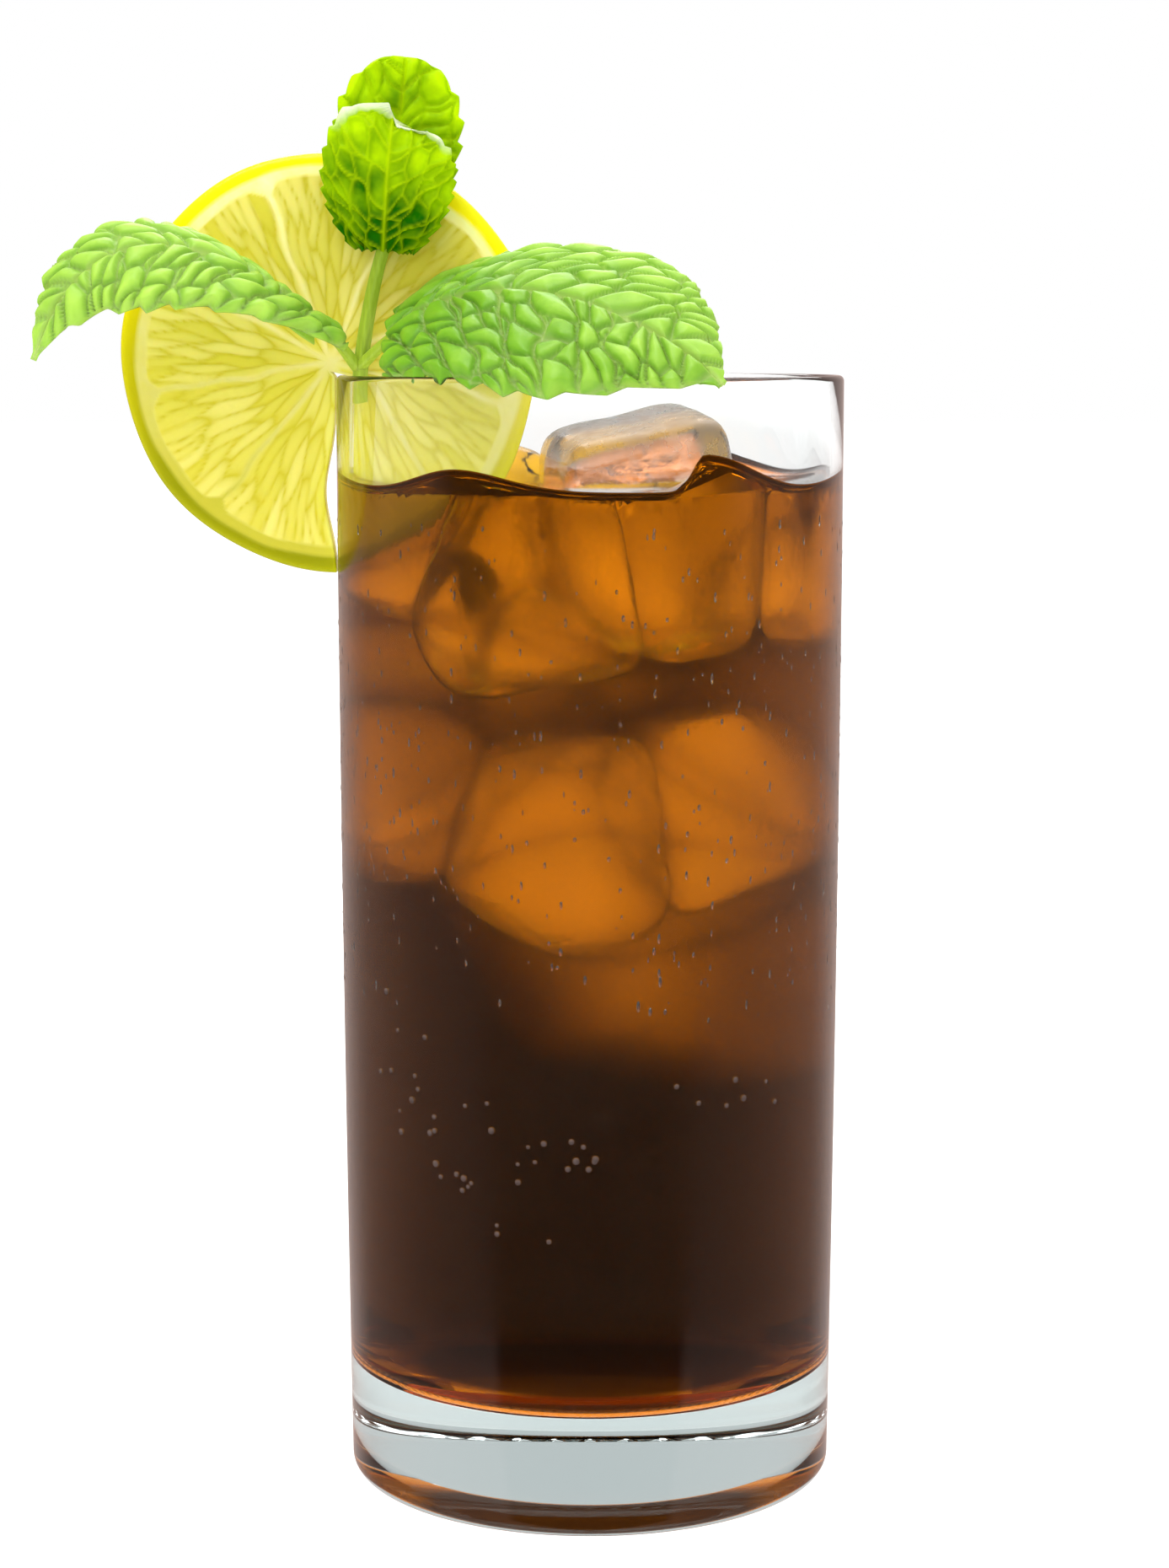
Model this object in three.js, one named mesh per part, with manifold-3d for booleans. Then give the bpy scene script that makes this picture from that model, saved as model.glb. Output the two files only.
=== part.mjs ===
// Cuba libre: a straight highball glass of rum and cola over ice, with a lemon slice slit onto the
// rim and a sprig of mint beside it. Millimetres, +Z up, -Y towards the viewer.
// The origin is the centre of the flat foot of the glass.
import * as THREE from "three";
import { mergeVertices } from "three/addons/utils/BufferGeometryUtils.js";
import Module from "manifold-3d";

const wasm = await Module();
wasm.setup();

// Driving dimensions
const GAP = 0.3; // clearance between pieces that touch
const ROUND = 64; // facets round the glass and the drink

const GLASS = {
  height: 146,
  rimRadius: 33,
  draft: 1.0, // how much smaller the radius is at the foot
  wall: 1.5, // wall thickness at the rim
  wallGrowth: 0.8, // extra wall thickness at the floor
  floor: 15, // thickness of the heavy base
  heel: 2.2, // rounding between wall and foot
  corner: 4, // rounding between wall and floor, inside
};

const DRINK = {
  level: 131.3, // lowest height of the surface at the wall
  climb: 1.0, // height of the meniscus at the wall
  climbReach: 1.6, // how far in from the wall the meniscus reaches
  liftPower: 5, // how fast a lift at the wall dies away towards the middle
};

// Where ice near the wall draws the surface up: azimuth from the viewer towards +X in degrees,
// height in millimetres, and the spread in degrees before and after that azimuth.
const LIFTS = [
  { at: -90, height: 1.8, before: 25, after: 22 },
  { at: -31, height: 2.6, before: 15, after: 17 },
  { at: 26, height: 4.4, before: 4, after: 17 },
  { at: 90, height: 2.0, before: 24, after: 25 },
  { at: 148, height: 2.4, before: 20, after: 16 },
  { at: 212, height: 2.8, before: 18, after: 20 },
];

const LEMON = {
  centre: [-33.6, 0, 147.7],
  radius: 27.0,
  thickness: 5.2,
  edge: 0.9, // rounding of the rind's two edges
  rind: 2.6, // width of the peel and pith
  dish: 0.35, // how far the pulp lies below the peel
  slitFlare: 1.0, // how far the outer half stands off the glass at the bottom
};

const ICE_ROUNDNESS = 7; // power of the superellipsoid: higher is squarer
const ICE = [
  { name: "ice_cube_right", size: [23, 20, 26], centre: [7, 9.6, 125.4], turn: [0.1, -0.12, 0.3] },
  { name: "ice_cube_left", size: [16, 14, 21], centre: [-15.9, 15.5, 125.4], turn: [-0.14, 0.1, 0.72] },
];

const STEM = {
  radius: 0.95,
  sides: 8,
  steps: 10,
  path: [
    [-29.8, -4.0, 141.6],
    [-29.9, -4.1, 147.2],
    [-28.4, -4.9, 155.7],
    [-26.4, -5.6, 162.2],
  ],
  petioleRadius: 0.55,
  petioleSteps: 6,
};

// A leaf's midrib is a cubic Bezier from base to tip. Its upper side looks along face, given at the
// base and at the tip. Cup bends the margins towards that side, lobe is how far the base reaches back
// past the petiole, and a smaller bluntness makes a rounder tip.
const LEAF_THICKNESS = 0.5;
const LEAF_ROWS = 20;
const LEAF_COLUMNS = 6;
const TOOTH = 0.06; // depth of a tooth of the margin, as a share of the half width
const TIP = 0.07; // half width left at the tip, as a share of the widest
const LEAVES = {
  right: {
    midrib: [[-25.2, -9, 151], [-14, -18, 160.4], [4, -30, 155.8], [15.8, -37.5, 145.2]],
    face: [[0.12, -0.6, 0.79], [0.12, -0.66, 0.74]],
    halfWidth: 15.2,
    widest: 0.55,
    cup: -0.1,
    lobe: 1.5,
    bluntness: 0.95,
  },
  left: {
    midrib: [[-33.6, -8.4, 151.8], [-42, -17, 160], [-61, -19.5, 171], [-69.3, -19, 148]],
    face: [[0, -0.17, 0.98], [-0.1, -0.78, 0.62]],
    halfWidth: 10,
    widest: 0.56,
    cup: -0.28,
    lobe: 2,
    bluntness: 1,
  },
  front: {
    midrib: [[-26.4, -5.9, 161.8], [-25.9, -12, 167], [-25.2, -12.5, 178.9], [-24.8, -6.4, 178.8]],
    face: [[0, 1, 0.1], [0, 1, 0.1]],
    halfWidth: 8.6,
    widest: 0.56,
    cup: 0.24,
    lobe: 1,
    bluntness: 0.6,
  },
  back: {
    midrib: [[-26, -5.2, 162.4], [-25.6, -4.2, 170], [-24, -5.2, 179.4], [-23.6, -2.4, 186.4]],
    face: [[0.1, -1, 0.2], [0.1, -1, 0.2]],
    halfWidth: 8.4,
    widest: 0.6,
    cup: 0.16,
    lobe: 1,
    bluntness: 0.55,
  },
};

// Materials
const matte = (color, roughness) => new THREE.MeshStandardMaterial({ color, roughness, metalness: 0 });
const clear = (color, roughness, opacity) =>
  new THREE.MeshStandardMaterial({ color, roughness, metalness: 0, transparent: true, opacity });
const MATERIALS = {
  glass: clear(0xeef3f3, 0.05, 0.35),
  drink: matte(0x4a2108, 0.1),
  lemon: matte(0xe6d93c, 0.45),
  ice: clear(0xf3ead8, 0.15, 0.6),
  mint: matte(0x6fae35, 0.55),
};

// Geometry and solids
function positionsOnly(geometry) {
  geometry.deleteAttribute("normal");
  geometry.deleteAttribute("uv");
  return mergeVertices(geometry, 1e-4);
}

function solid(geometry) {
  const merged = positionsOnly(geometry);
  return new wasm.Manifold(
    new wasm.Mesh({
      numProp: 3,
      vertProperties: new Float32Array(merged.attributes.position.array),
      triVerts: new Uint32Array(merged.index.array),
    }),
  );
}

function geometryOf(manifold) {
  const { vertProperties, triVerts } = manifold.getMesh();
  const geometry = new THREE.BufferGeometry();
  geometry.setAttribute("position", new THREE.BufferAttribute(vertProperties, 3));
  geometry.setIndex(new THREE.BufferAttribute(triVerts, 1));
  geometry.computeVertexNormals();
  return geometry;
}

function indexed(points, triangles) {
  const geometry = new THREE.BufferGeometry();
  geometry.setAttribute("position", new THREE.Float32BufferAttribute(points.flat(), 3));
  geometry.setIndex(triangles);
  return geometry;
}

// A closed skin over rings of points, from a pole below the first ring to a pole above the last.
function ringSkin(firstPole, rings, lastPole) {
  const sides = rings[0].length;
  const points = [firstPole, ...rings.flat(), lastPole];
  const at = (ring, side) => 1 + ring * sides + (side % sides);
  const triangles = [];
  for (let side = 0; side < sides; side++) {
    triangles.push(0, at(0, side + 1), at(0, side));
    for (let ring = 0; ring + 1 < rings.length; ring++) {
      const [a, b] = [at(ring, side), at(ring, side + 1)];
      const [c, d] = [at(ring + 1, side), at(ring + 1, side + 1)];
      triangles.push(a, b, d, a, d, c);
    }
    triangles.push(at(rings.length - 1, side), at(rings.length - 1, side + 1), points.length - 1);
  }
  return indexed(points, triangles);
}

function arc(centreR, centreZ, radius, from, to, steps) {
  return Array.from({ length: steps + 1 }, (_, i) => {
    const angle = THREE.MathUtils.degToRad(from + ((to - from) * i) / steps);
    return [centreR + radius * Math.cos(angle), centreZ + radius * Math.sin(angle)];
  });
}

// Glass
const outerRadius = (z) => GLASS.rimRadius - GLASS.draft * (1 - z / GLASS.height) ** 2;
const wallAt = (z) => GLASS.wall + GLASS.wallGrowth * (1 - z / GLASS.height);
const innerRadius = (z) => outerRadius(z) - wallAt(z);

function wallPoints(radiusAt, from, to, steps) {
  return Array.from({ length: steps + 1 }, (_, i) => {
    const z = from + ((to - from) * i) / steps;
    return [radiusAt(z), z];
  });
}

function glassSolid() {
  const { height, wall, floor, heel, corner } = GLASS;
  const lip = wall / 2;
  const shoulder = height - lip;
  const profile = [
    [0, 0],
    ...arc(outerRadius(heel) - heel, heel, heel, -90, 0, 4),
    ...wallPoints(outerRadius, heel, shoulder, 4).slice(1),
    ...arc(outerRadius(shoulder) - lip, shoulder, lip, 0, 180, 4).slice(1),
    ...wallPoints(innerRadius, shoulder, floor + corner, 3).slice(1),
    ...arc(innerRadius(floor + corner) - corner, floor + corner, corner, 0, -90, 3).slice(1),
    [0, floor],
  ];
  const lathe = new THREE.LatheGeometry(profile.map(([r, z]) => new THREE.Vector2(r, z)), ROUND);
  return solid(lathe.rotateX(Math.PI / 2));
}

// Drink
function surfaceLift(azimuth) {
  return LIFTS.reduce((sum, { at, height, before, after }) => {
    const off = THREE.MathUtils.euclideanModulo(azimuth - at + 180, 360) - 180;
    return sum + height * Math.exp(-((off / (off < 0 ? before : after)) ** 2));
  }, 0);
}

function surfaceHeight(azimuth, radius, wallRadius) {
  const lift = surfaceLift(azimuth) * (radius / wallRadius) ** DRINK.liftPower;
  return DRINK.level + lift + DRINK.climb * Math.exp((radius - wallRadius) / DRINK.climbReach);
}

function drinkSolid(...sunk) {
  const { floor, corner } = GLASS;
  const bottom = floor + GAP;
  const wallRadius = innerRadius(DRINK.level) - GAP;
  const ring = (pointAt) =>
    Array.from({ length: ROUND }, (_, i) => {
      const azimuth = (360 * i) / ROUND;
      const turn = THREE.MathUtils.degToRad(azimuth);
      const [radius, z] = pointAt(azimuth);
      return [radius * Math.sin(turn), -radius * Math.cos(turn), z];
    });
  const below = [
    ...arc(innerRadius(floor + corner) - GAP - corner, bottom + corner, corner, -90, 0, 3),
    ...wallPoints((z) => innerRadius(z) - GAP, bottom + corner, DRINK.level - 6, 2).slice(1),
  ];
  const across = [1, 0.97, 0.9, 0.74, 0.45];
  const skin = ringSkin(
    [0, 0, bottom],
    [
      ...below.map((point) => ring(() => point)),
      ...across.map((share) =>
        ring((azimuth) => {
          const radius = wallRadius * share;
          return [radius, surfaceHeight(azimuth, radius, wallRadius)];
        }),
      ),
    ],
    [0, 0, DRINK.level],
  );
  return sunk.reduce((drink, piece) => drink.subtract(piece), solid(skin));
}

// Ice
function iceSolid({ size, centre, turn }, margin = 0) {
  const cube = new THREE.BoxGeometry(2, 2, 2, 5, 5, 5);
  const place = cube.attributes.position;
  const point = new THREE.Vector3();
  for (let i = 0; i < place.count; i++) {
    point.fromBufferAttribute(place, i);
    const spread = [point.x, point.y, point.z].reduce((sum, x) => sum + Math.abs(x) ** ICE_ROUNDNESS, 0);
    point.multiplyScalar(spread ** (-1 / ICE_ROUNDNESS));
    place.setXYZ(i, ...point.toArray().map((x, axis) => x * (size[axis] / 2 + margin)));
  }
  const pose = new THREE.Matrix4().makeRotationFromEuler(new THREE.Euler(...turn));
  return solid(cube.applyMatrix4(pose.setPosition(...centre)));
}

// Lemon slice: a disc lying across Y, slit from its middle down to take the wall of the glass
const lemonOutline = (angle) => LEMON.radius + 0.22 * Math.cos(3 * angle + 0.7) + 0.14 * Math.cos(7 * angle);

function lemonDisc(margin) {
  const { centre, thickness, edge, rind, dish } = LEMON;
  const sides = 54;
  const half = thickness / 2 + margin;
  const cheek = [
    [-9, half - dish],
    [-rind, half - dish],
    [-edge, half],
  ];
  const rings = [
    ...[-18, ...cheek.map(([inset]) => inset)].map((inset, i) => [inset, i ? cheek[i - 1][1] : half - dish]),
    [-edge * 0.3, half - edge * 0.3],
    [0, half - edge],
  ];
  const mirrored = rings.map(([inset, y]) => [inset, -y]).reverse();
  const place = ([inset, y]) =>
    Array.from({ length: sides }, (_, i) => {
      const angle = (2 * Math.PI * i) / sides;
      const radius = lemonOutline(angle) + margin + inset;
      return [centre[0] + radius * Math.cos(angle), y, centre[2] + radius * Math.sin(angle)];
    });
  const middle = (y) => [centre[0], y, centre[2]];
  return solid(ringSkin(middle(half - dish), [...rings, ...mirrored].map(place), middle(dish - half)));
}

function lemonSlit() {
  const { centre, radius, thickness, slitFlare } = LEMON;
  const top = GLASS.height + GAP;
  const bottom = centre[2] - radius - 5;
  const outside = -GLASS.rimRadius - GAP;
  const inside = -Math.sqrt(innerRadius(bottom) ** 2 - (thickness / 2) ** 2) + GAP;
  const outline = new THREE.Shape([
    new THREE.Vector2(outside, top),
    new THREE.Vector2(outside - slitFlare, bottom),
    new THREE.Vector2(inside, bottom),
    new THREE.Vector2(inside, top),
  ]);
  const depth = thickness * 2;
  const wedge = new THREE.ExtrudeGeometry(outline, { depth, bevelEnabled: false });
  return solid(wedge.translate(0, 0, -depth / 2).rotateX(Math.PI / 2));
}

const lemonSolid = () => lemonDisc(0).subtract(lemonSlit());

// Mint sprig: four leaves on a stem, grown together as one solid
const vector = (point) => new THREE.Vector3(...point);

function tube(curve, radius, sides, steps) {
  const section = new THREE.Shape(
    Array.from({ length: sides }, (_, i) => {
      const angle = (2 * Math.PI * i) / sides;
      return new THREE.Vector2(radius * Math.cos(angle), radius * Math.sin(angle));
    }),
  );
  return solid(new THREE.ExtrudeGeometry(section, { extrudePath: curve, steps, bevelEnabled: false }));
}

function leafHalfWidth({ halfWidth, widest, bluntness }, along) {
  const toBase = 1.12; // leaves the base wide, where the lobes are
  const share =
    along < widest
      ? Math.sqrt(1 - ((widest - along) / (widest * toBase)) ** 2)
      : Math.cos((Math.PI / 2) * ((along - widest) / (1 - widest))) ** bluntness;
  return halfWidth * Math.max(share, TIP);
}

// The middle surface of a leaf and its normal, from base to tip and from margin to margin.
function leafRow(leaf, row) {
  const along = row / LEAF_ROWS;
  const curve = new THREE.CubicBezierCurve3(...leaf.midrib.map(vector));
  const tangent = curve.getTangent(along);
  const up = vector(leaf.face[0]).lerp(vector(leaf.face[1]), along);
  up.addScaledVector(tangent, -up.dot(tangent)).normalize();
  const side = new THREE.Vector3().crossVectors(tangent, up);
  const width = leafHalfWidth(leaf, along);
  const back = leaf.lobe * Math.max(0, 1 - along / 0.3) ** 2;
  return Array.from({ length: LEAF_COLUMNS + 1 }, (_, column) => {
    const across = (2 * column) / LEAF_COLUMNS - 1;
    const tooth = Math.abs(across) > 0.99 && row % 2 ? 1 - TOOTH : 1;
    const point = curve
      .getPoint(along)
      .addScaledVector(side, across * width * tooth)
      .addScaledVector(up, leaf.cup * width * across ** 2)
      .addScaledVector(tangent, -back * across ** 2);
    const normal = up.clone().addScaledVector(side, -2 * leaf.cup * across).normalize();
    return { point, normal };
  });
}

function leafSolid(leaf) {
  const rows = Array.from({ length: LEAF_ROWS + 1 }, (_, row) => leafRow(leaf, row));
  const face = (sign) =>
    rows.flatMap((row) =>
      row.map(({ point, normal }) => point.clone().addScaledVector(normal, (sign * LEAF_THICKNESS) / 2)),
    );
  const points = [...face(1), ...face(-1)].map((p) => p.toArray());
  const columns = LEAF_COLUMNS + 1;
  const under = rows.length * columns;
  const at = (row, column) => row * columns + column;
  const triangles = [];
  const quad = (a, b, c, d) => triangles.push(a, b, c, a, c, d);
  for (let row = 0; row < LEAF_ROWS; row++) {
    for (let column = 0; column < LEAF_COLUMNS; column++) {
      const [a, b] = [at(row, column), at(row, column + 1)];
      const [c, d] = [at(row + 1, column + 1), at(row + 1, column)];
      quad(a, b, c, d);
      quad(under + d, under + c, under + b, under + a);
    }
    for (const [column, flip] of [[0, false], [LEAF_COLUMNS, true]]) {
      const [a, b] = [at(row, column), at(row + 1, column)];
      if (flip) quad(a, under + a, under + b, b);
      else quad(b, under + b, under + a, a);
    }
  }
  for (let column = 0; column < LEAF_COLUMNS; column++) {
    const [a, b] = [at(0, column), at(0, column + 1)];
    const [c, d] = [at(LEAF_ROWS, column), at(LEAF_ROWS, column + 1)];
    quad(b, a, under + a, under + b);
    quad(c, d, under + d, under + c);
  }
  return solid(indexed(points, triangles));
}

function petiole({ midrib }) {
  const joint = vector(STEM.path[1]);
  const base = vector(midrib[0]);
  const inLeaf = base.clone().lerp(vector(midrib[1]), 0.15);
  const bend = joint.clone().lerp(base, 0.5).add(new THREE.Vector3(0, -0.3, -0.6));
  const curve = new THREE.CatmullRomCurve3([joint, bend, base, inLeaf]);
  return tube(curve, STEM.petioleRadius, STEM.sides, STEM.petioleSteps);
}

function mintSolid() {
  const stem = tube(new THREE.CatmullRomCurve3(STEM.path.map(vector)), STEM.radius, STEM.sides, STEM.steps);
  const { left, right } = LEAVES;
  const grown = [...Object.values(LEAVES).map(leafSolid), petiole(left), petiole(right)];
  return grown.reduce((sprig, piece) => sprig.add(piece), stem);
}

// The drink with everything in it
function node(name, manifold, material) {
  const mesh = new THREE.Mesh(geometryOf(manifold), material);
  mesh.name = name;
  return mesh;
}

const cubaLibre = new THREE.Group();
cubaLibre.add(
  node("glass", glassSolid(), MATERIALS.glass),
  node("drink", drinkSolid(lemonDisc(GAP), ...ICE.map((cube) => iceSolid(cube, GAP))), MATERIALS.drink),
  ...ICE.map((cube) => node(cube.name, iceSolid(cube), MATERIALS.ice)),
  node("lemon_slice", lemonSolid(), MATERIALS.lemon),
  node("mint_sprig", mintSolid(), MATERIALS.mint),
);

export default cubaLibre;
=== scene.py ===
import math

import bpy
import numpy as np
from mathutils import Euler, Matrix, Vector, noise


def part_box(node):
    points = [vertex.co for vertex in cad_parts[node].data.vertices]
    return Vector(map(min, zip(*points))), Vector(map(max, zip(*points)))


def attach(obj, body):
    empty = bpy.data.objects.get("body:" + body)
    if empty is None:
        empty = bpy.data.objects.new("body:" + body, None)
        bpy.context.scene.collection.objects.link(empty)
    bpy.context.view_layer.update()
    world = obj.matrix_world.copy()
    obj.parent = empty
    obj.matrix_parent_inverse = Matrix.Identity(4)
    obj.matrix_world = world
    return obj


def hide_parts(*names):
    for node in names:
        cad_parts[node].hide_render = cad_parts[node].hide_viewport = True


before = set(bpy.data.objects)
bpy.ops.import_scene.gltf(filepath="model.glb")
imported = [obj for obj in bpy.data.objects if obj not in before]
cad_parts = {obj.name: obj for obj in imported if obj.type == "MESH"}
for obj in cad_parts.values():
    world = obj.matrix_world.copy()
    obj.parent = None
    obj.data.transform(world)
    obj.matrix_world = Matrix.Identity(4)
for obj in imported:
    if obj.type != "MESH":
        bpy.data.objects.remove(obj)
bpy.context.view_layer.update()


# Glass
# A straight machine-made highball glass of clear soda-lime glass, with a heavy base and a
# fire-polished rim. It stands on a bearing ring of fine pressed ribs round a slightly hollow foot.

MM = 0.001

GLASS_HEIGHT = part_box("glass")[1].z / MM
RIM_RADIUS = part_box("glass")[1].x / MM
FOOT_DRAFT = 1.0
RIM_WALL = 1.5
WALL_GROWTH = 0.8
BASE_THICKNESS = 15
HEEL = 2.2
INNER_CORNER = 4
RIBS = 96
GLASS_SIDES = 8 * RIBS
RIB_DEPTH = 0.6
RIB_RING = (26.2, 30.6)
FOOT_HOLLOW = 2.0
HOLLOW_RADIUS = 19.5
BEARING_RADIUS = 28.0
MIST_PATCH = 18
# Share of the glass's height, and how much mist is there.
MIST_BY_HEIGHT = ((0.12, 0.0), (0.22, 0.8), (0.45, 1.0), (0.75, 1.0), (0.9, 0.55), (0.96, 0.0))
MIST_ROUGHNESS = 0.25
MIST_DULLING = 0.85
WET_GLEAM = 0.05
WET_FADE = 2
GLASS_TRANSMITTED_PER_CM = (0.91, 0.927, 0.927)
SKIN_DEPTH = 0.05
LEVEL = 131.3


def outer_radius(z):
    """Radius of the glass outside, which draws in a little towards the foot."""
    return RIM_RADIUS - FOOT_DRAFT * (1 - z / GLASS_HEIGHT) ** 2


def inner_radius(z):
    """Radius of the glass inside; the wall grows thicker downwards."""
    return outer_radius(z) - RIM_WALL - WALL_GROWTH * (1 - z / GLASS_HEIGHT)


def arc(centre_r, centre_z, radius, start, end, steps):
    """Points of a profile along an arc, its ends included."""
    angles = np.radians(np.linspace(start, end, steps + 1))
    return [(centre_r + radius * math.cos(a), centre_z + radius * math.sin(a)) for a in angles]


def wall(radius_at, start, end, steps):
    """Points of a profile up or down a wall, its ends included."""
    return [(radius_at(z), z) for z in np.linspace(start, end, steps + 1)]


def ring_faces(rings, sides, first=0):
    """Quads that join rings of points, each ring closed on itself."""
    ring, side = np.meshgrid(np.arange(rings - 1), np.arange(sides), indexing="ij")
    near = first + ring * sides
    right = (side + 1) % sides
    corners = (near + side, near + right, near + sides + right, near + sides + side)
    return np.stack(corners, -1).reshape(-1, 4).tolist()


def lathe(profile, sides):
    """Points and faces of a solid turned about Z; the profile starts and ends on the axis."""
    turn = np.arange(sides) * 2 * math.pi / sides
    body = np.array(profile[1:-1])
    radius = np.repeat(body[:, :1], sides, 1)
    height = np.repeat(body[:, 1:], sides, 1)
    points = np.stack([radius * np.sin(turn), -radius * np.cos(turn), height], -1).reshape(-1, 3)
    rings = len(body)
    first_pole = rings * sides
    faces = ring_faces(rings, sides)
    last = (rings - 1) * sides
    for side in range(sides):
        following = (side + 1) % sides
        faces.append([first_pole, following, side])
        faces.append([first_pole + 1, last + side, last + following])
    poles = [(0, 0, profile[0][1]), (0, 0, profile[-1][1])]
    return np.vstack([points, poles]), faces


def piece(name, points, faces, material, values=None):
    """A smooth mesh object from points in millimetres, with values kept at its points by name."""
    mesh = bpy.data.meshes.new(name)
    mesh.from_pydata((np.asarray(points) * MM).tolist(), [], faces)
    for label, numbers in (values or {}).items():
        mesh.attributes.new(label, "FLOAT", "POINT").data.foreach_set("value", np.float32(numbers))
    mesh.polygons.foreach_set("use_smooth", [True] * len(mesh.polygons))
    mesh.materials.append(material)
    made = bpy.data.objects.new(name, mesh)
    bpy.context.scene.collection.objects.link(made)
    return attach(made, "root")


def linear(code):
    """A colour from its sRGB hex value."""
    channels = [int(code[i : i + 2], 16) / 255 for i in (1, 3, 5)]
    light = [c / 12.92 if c <= 0.04045 else ((c + 0.055) / 1.055) ** 2.4 for c in channels]
    return (*light, 1)


def add(tree, kind, inputs=None, **settings):
    """Adds a node, sets its options, and sets each input or links it to a node or an output."""
    node = tree.nodes.new("ShaderNode" + kind)
    for option, value in settings.items():
        setattr(node, option, value)
    for label, value in (inputs or {}).items():
        socket = node.inputs[label] if isinstance(label, int) else next(
            s for s in node.inputs if s.name == label and s.enabled
        )
        if isinstance(value, bpy.types.Node):
            value = next(s for s in value.outputs if s.enabled)
        if isinstance(value, bpy.types.NodeSocket):
            tree.links.new(value, socket)
        else:
            socket.default_value = value
    return node


def material(name):
    """An empty material and its node tree."""
    made = bpy.data.materials.new(name)
    made.use_nodes = True
    made.node_tree.nodes.clear()
    return made, made.node_tree


def absorbing(tree, transmitted_per_cm):
    """The inside of a clear body, from the share of red, green and blue that a centimetre lets by."""
    loss = [-math.log(t) / (10 * MM) for t in transmitted_per_cm]
    density = max(loss) * 1.001
    colour = [1 - x / density for x in loss]
    return add(tree, "VolumeAbsorption", {"Color": (*colour, 1), "Density": density})


def soda_lime_glass():
    """Clear glass, cold enough for a breath of mist outside, which softens what is seen through it."""
    made, tree = material("soda_lime_glass")
    place = add(tree, "TexCoord")
    patches = add(
        tree,
        "TexNoise",
        {"Vector": place.outputs["Object"], "Scale": 1 / (MIST_PATCH * MM), "Detail": 3.0},
    )
    haze = add(
        tree,
        "MapRange",
        {"Value": patches, "From Min": 0.3, "From Max": 0.7, "To Min": 0.7, "To Max": 1.0},
    )
    place_parts = add(tree, "SeparateXYZ", {"Vector": place.outputs["Object"]})
    height = add(tree, "MapRange", {"Value": place_parts.outputs["Z"], "From Max": GLASS_HEIGHT * MM})
    cool = add(tree, "FloatCurve", {"Value": height})
    for at, much in MIST_BY_HEIGHT:
        cool.mapping.curves[0].points.new(at, much)
    ends = cool.mapping.curves[0].points
    ends[0].location = (0, 0)
    ends[-1].location = (1, 0)
    cool.mapping.update()
    misted = add(tree, "Attribute", attribute_name="outside")
    cold_haze = add(tree, "Math", {0: haze, 1: cool}, operation="MULTIPLY")
    outer_haze = add(tree, "Math", {0: cold_haze, 1: misted.outputs["Fac"]}, operation="MULTIPLY")
    blur = add(tree, "Math", {0: outer_haze, 1: MIST_ROUGHNESS}, operation="MULTIPLY")
    wetted = add(tree, "Attribute", attribute_name="wetted")
    polish = add(tree, "MapRange", {"Value": wetted.outputs["Fac"], "To Min": 1.0, "To Max": WET_GLEAM})
    gleam = add(tree, "Math", {0: outer_haze, 1: -MIST_DULLING, 2: polish}, operation="MULTIPLY_ADD")
    surface = add(
        tree,
        "BsdfPrincipled",
        {
            "Base Color": linear("#FAFBFB"),
            "Roughness": blur,
            "IOR": 1.5,
            "Specular Tint": gleam,
            "Transmission Weight": 1.0,
        },
    )
    add(tree, "OutputMaterial", {"Surface": surface, "Volume": absorbing(tree, GLASS_TRANSMITTED_PER_CM)})
    return made


def glass_points():
    """The glass turned about its axis, with ribs pressed under the foot, and what each point of it is."""
    lip = RIM_WALL / 2
    shoulder = GLASS_HEIGHT - lip
    low = BASE_THICKNESS + INNER_CORNER
    heel_start = outer_radius(HEEL) - HEEL
    floor_edge = inner_radius(low) - INNER_CORNER
    profile = [
        (0, 0),
        *[(r, 0) for r in np.linspace(2, HOLLOW_RADIUS - 1, 8)],
        *[(r, 0) for r in np.linspace(HOLLOW_RADIUS, heel_start - 0.1, 26)],
        *arc(heel_start, HEEL, HEEL, -90, 0, 10),
        *wall(outer_radius, HEEL, shoulder, 12)[1:],
        *arc(outer_radius(shoulder) - lip, shoulder, lip, 0, 180, 12)[1:],
        *wall(inner_radius, shoulder, low, 14)[1:],
        *arc(floor_edge, low, INNER_CORNER, 0, -90, 12)[1:],
        *[(r, BASE_THICKNESS) for r in np.linspace(floor_edge, 2, 8)[1:]],
        (0, BASE_THICKNESS),
    ]
    points, faces = lathe(profile, GLASS_SIDES)
    radius = np.hypot(points[:, 0], points[:, 1])
    turn = np.arctan2(points[:, 0], -points[:, 1])
    foot = points[:, 2] < 1e-6
    middle = sum(RIB_RING) / 2
    ring = np.clip(1 - ((radius - middle) / (RIB_RING[1] - middle)) ** 2, 0, 1)
    ribs = RIB_DEPTH * ring * (0.5 + 0.5 * np.cos(RIBS * turn))
    slope = np.clip((BEARING_RADIUS - radius) / (BEARING_RADIUS - HOLLOW_RADIUS), 0, 1)
    hollow = FOOT_HOLLOW * slope * (1.5 - 0.5 * slope)
    points[foot, 2] = (ribs + hollow)[foot]
    outside = (radius > outer_radius(points[:, 2]) - SKIN_DEPTH) & (points[:, 2] > HEEL)
    inside = (radius < inner_radius(points[:, 2]) + SKIN_DEPTH) & (points[:, 2] > BASE_THICKNESS / 2)
    wetted = inside * np.clip((LEVEL + WET_FADE - points[:, 2]) / WET_FADE, 0, 1)
    return points, faces, {"outside": outside, "wetted": wetted}


points, faces, values = glass_points()
glass = piece("glass_tumbler", points, faces, soda_lime_glass(), values)
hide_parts("glass")
glass.visible_shadow = False
glass.visible_diffuse = False


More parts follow.
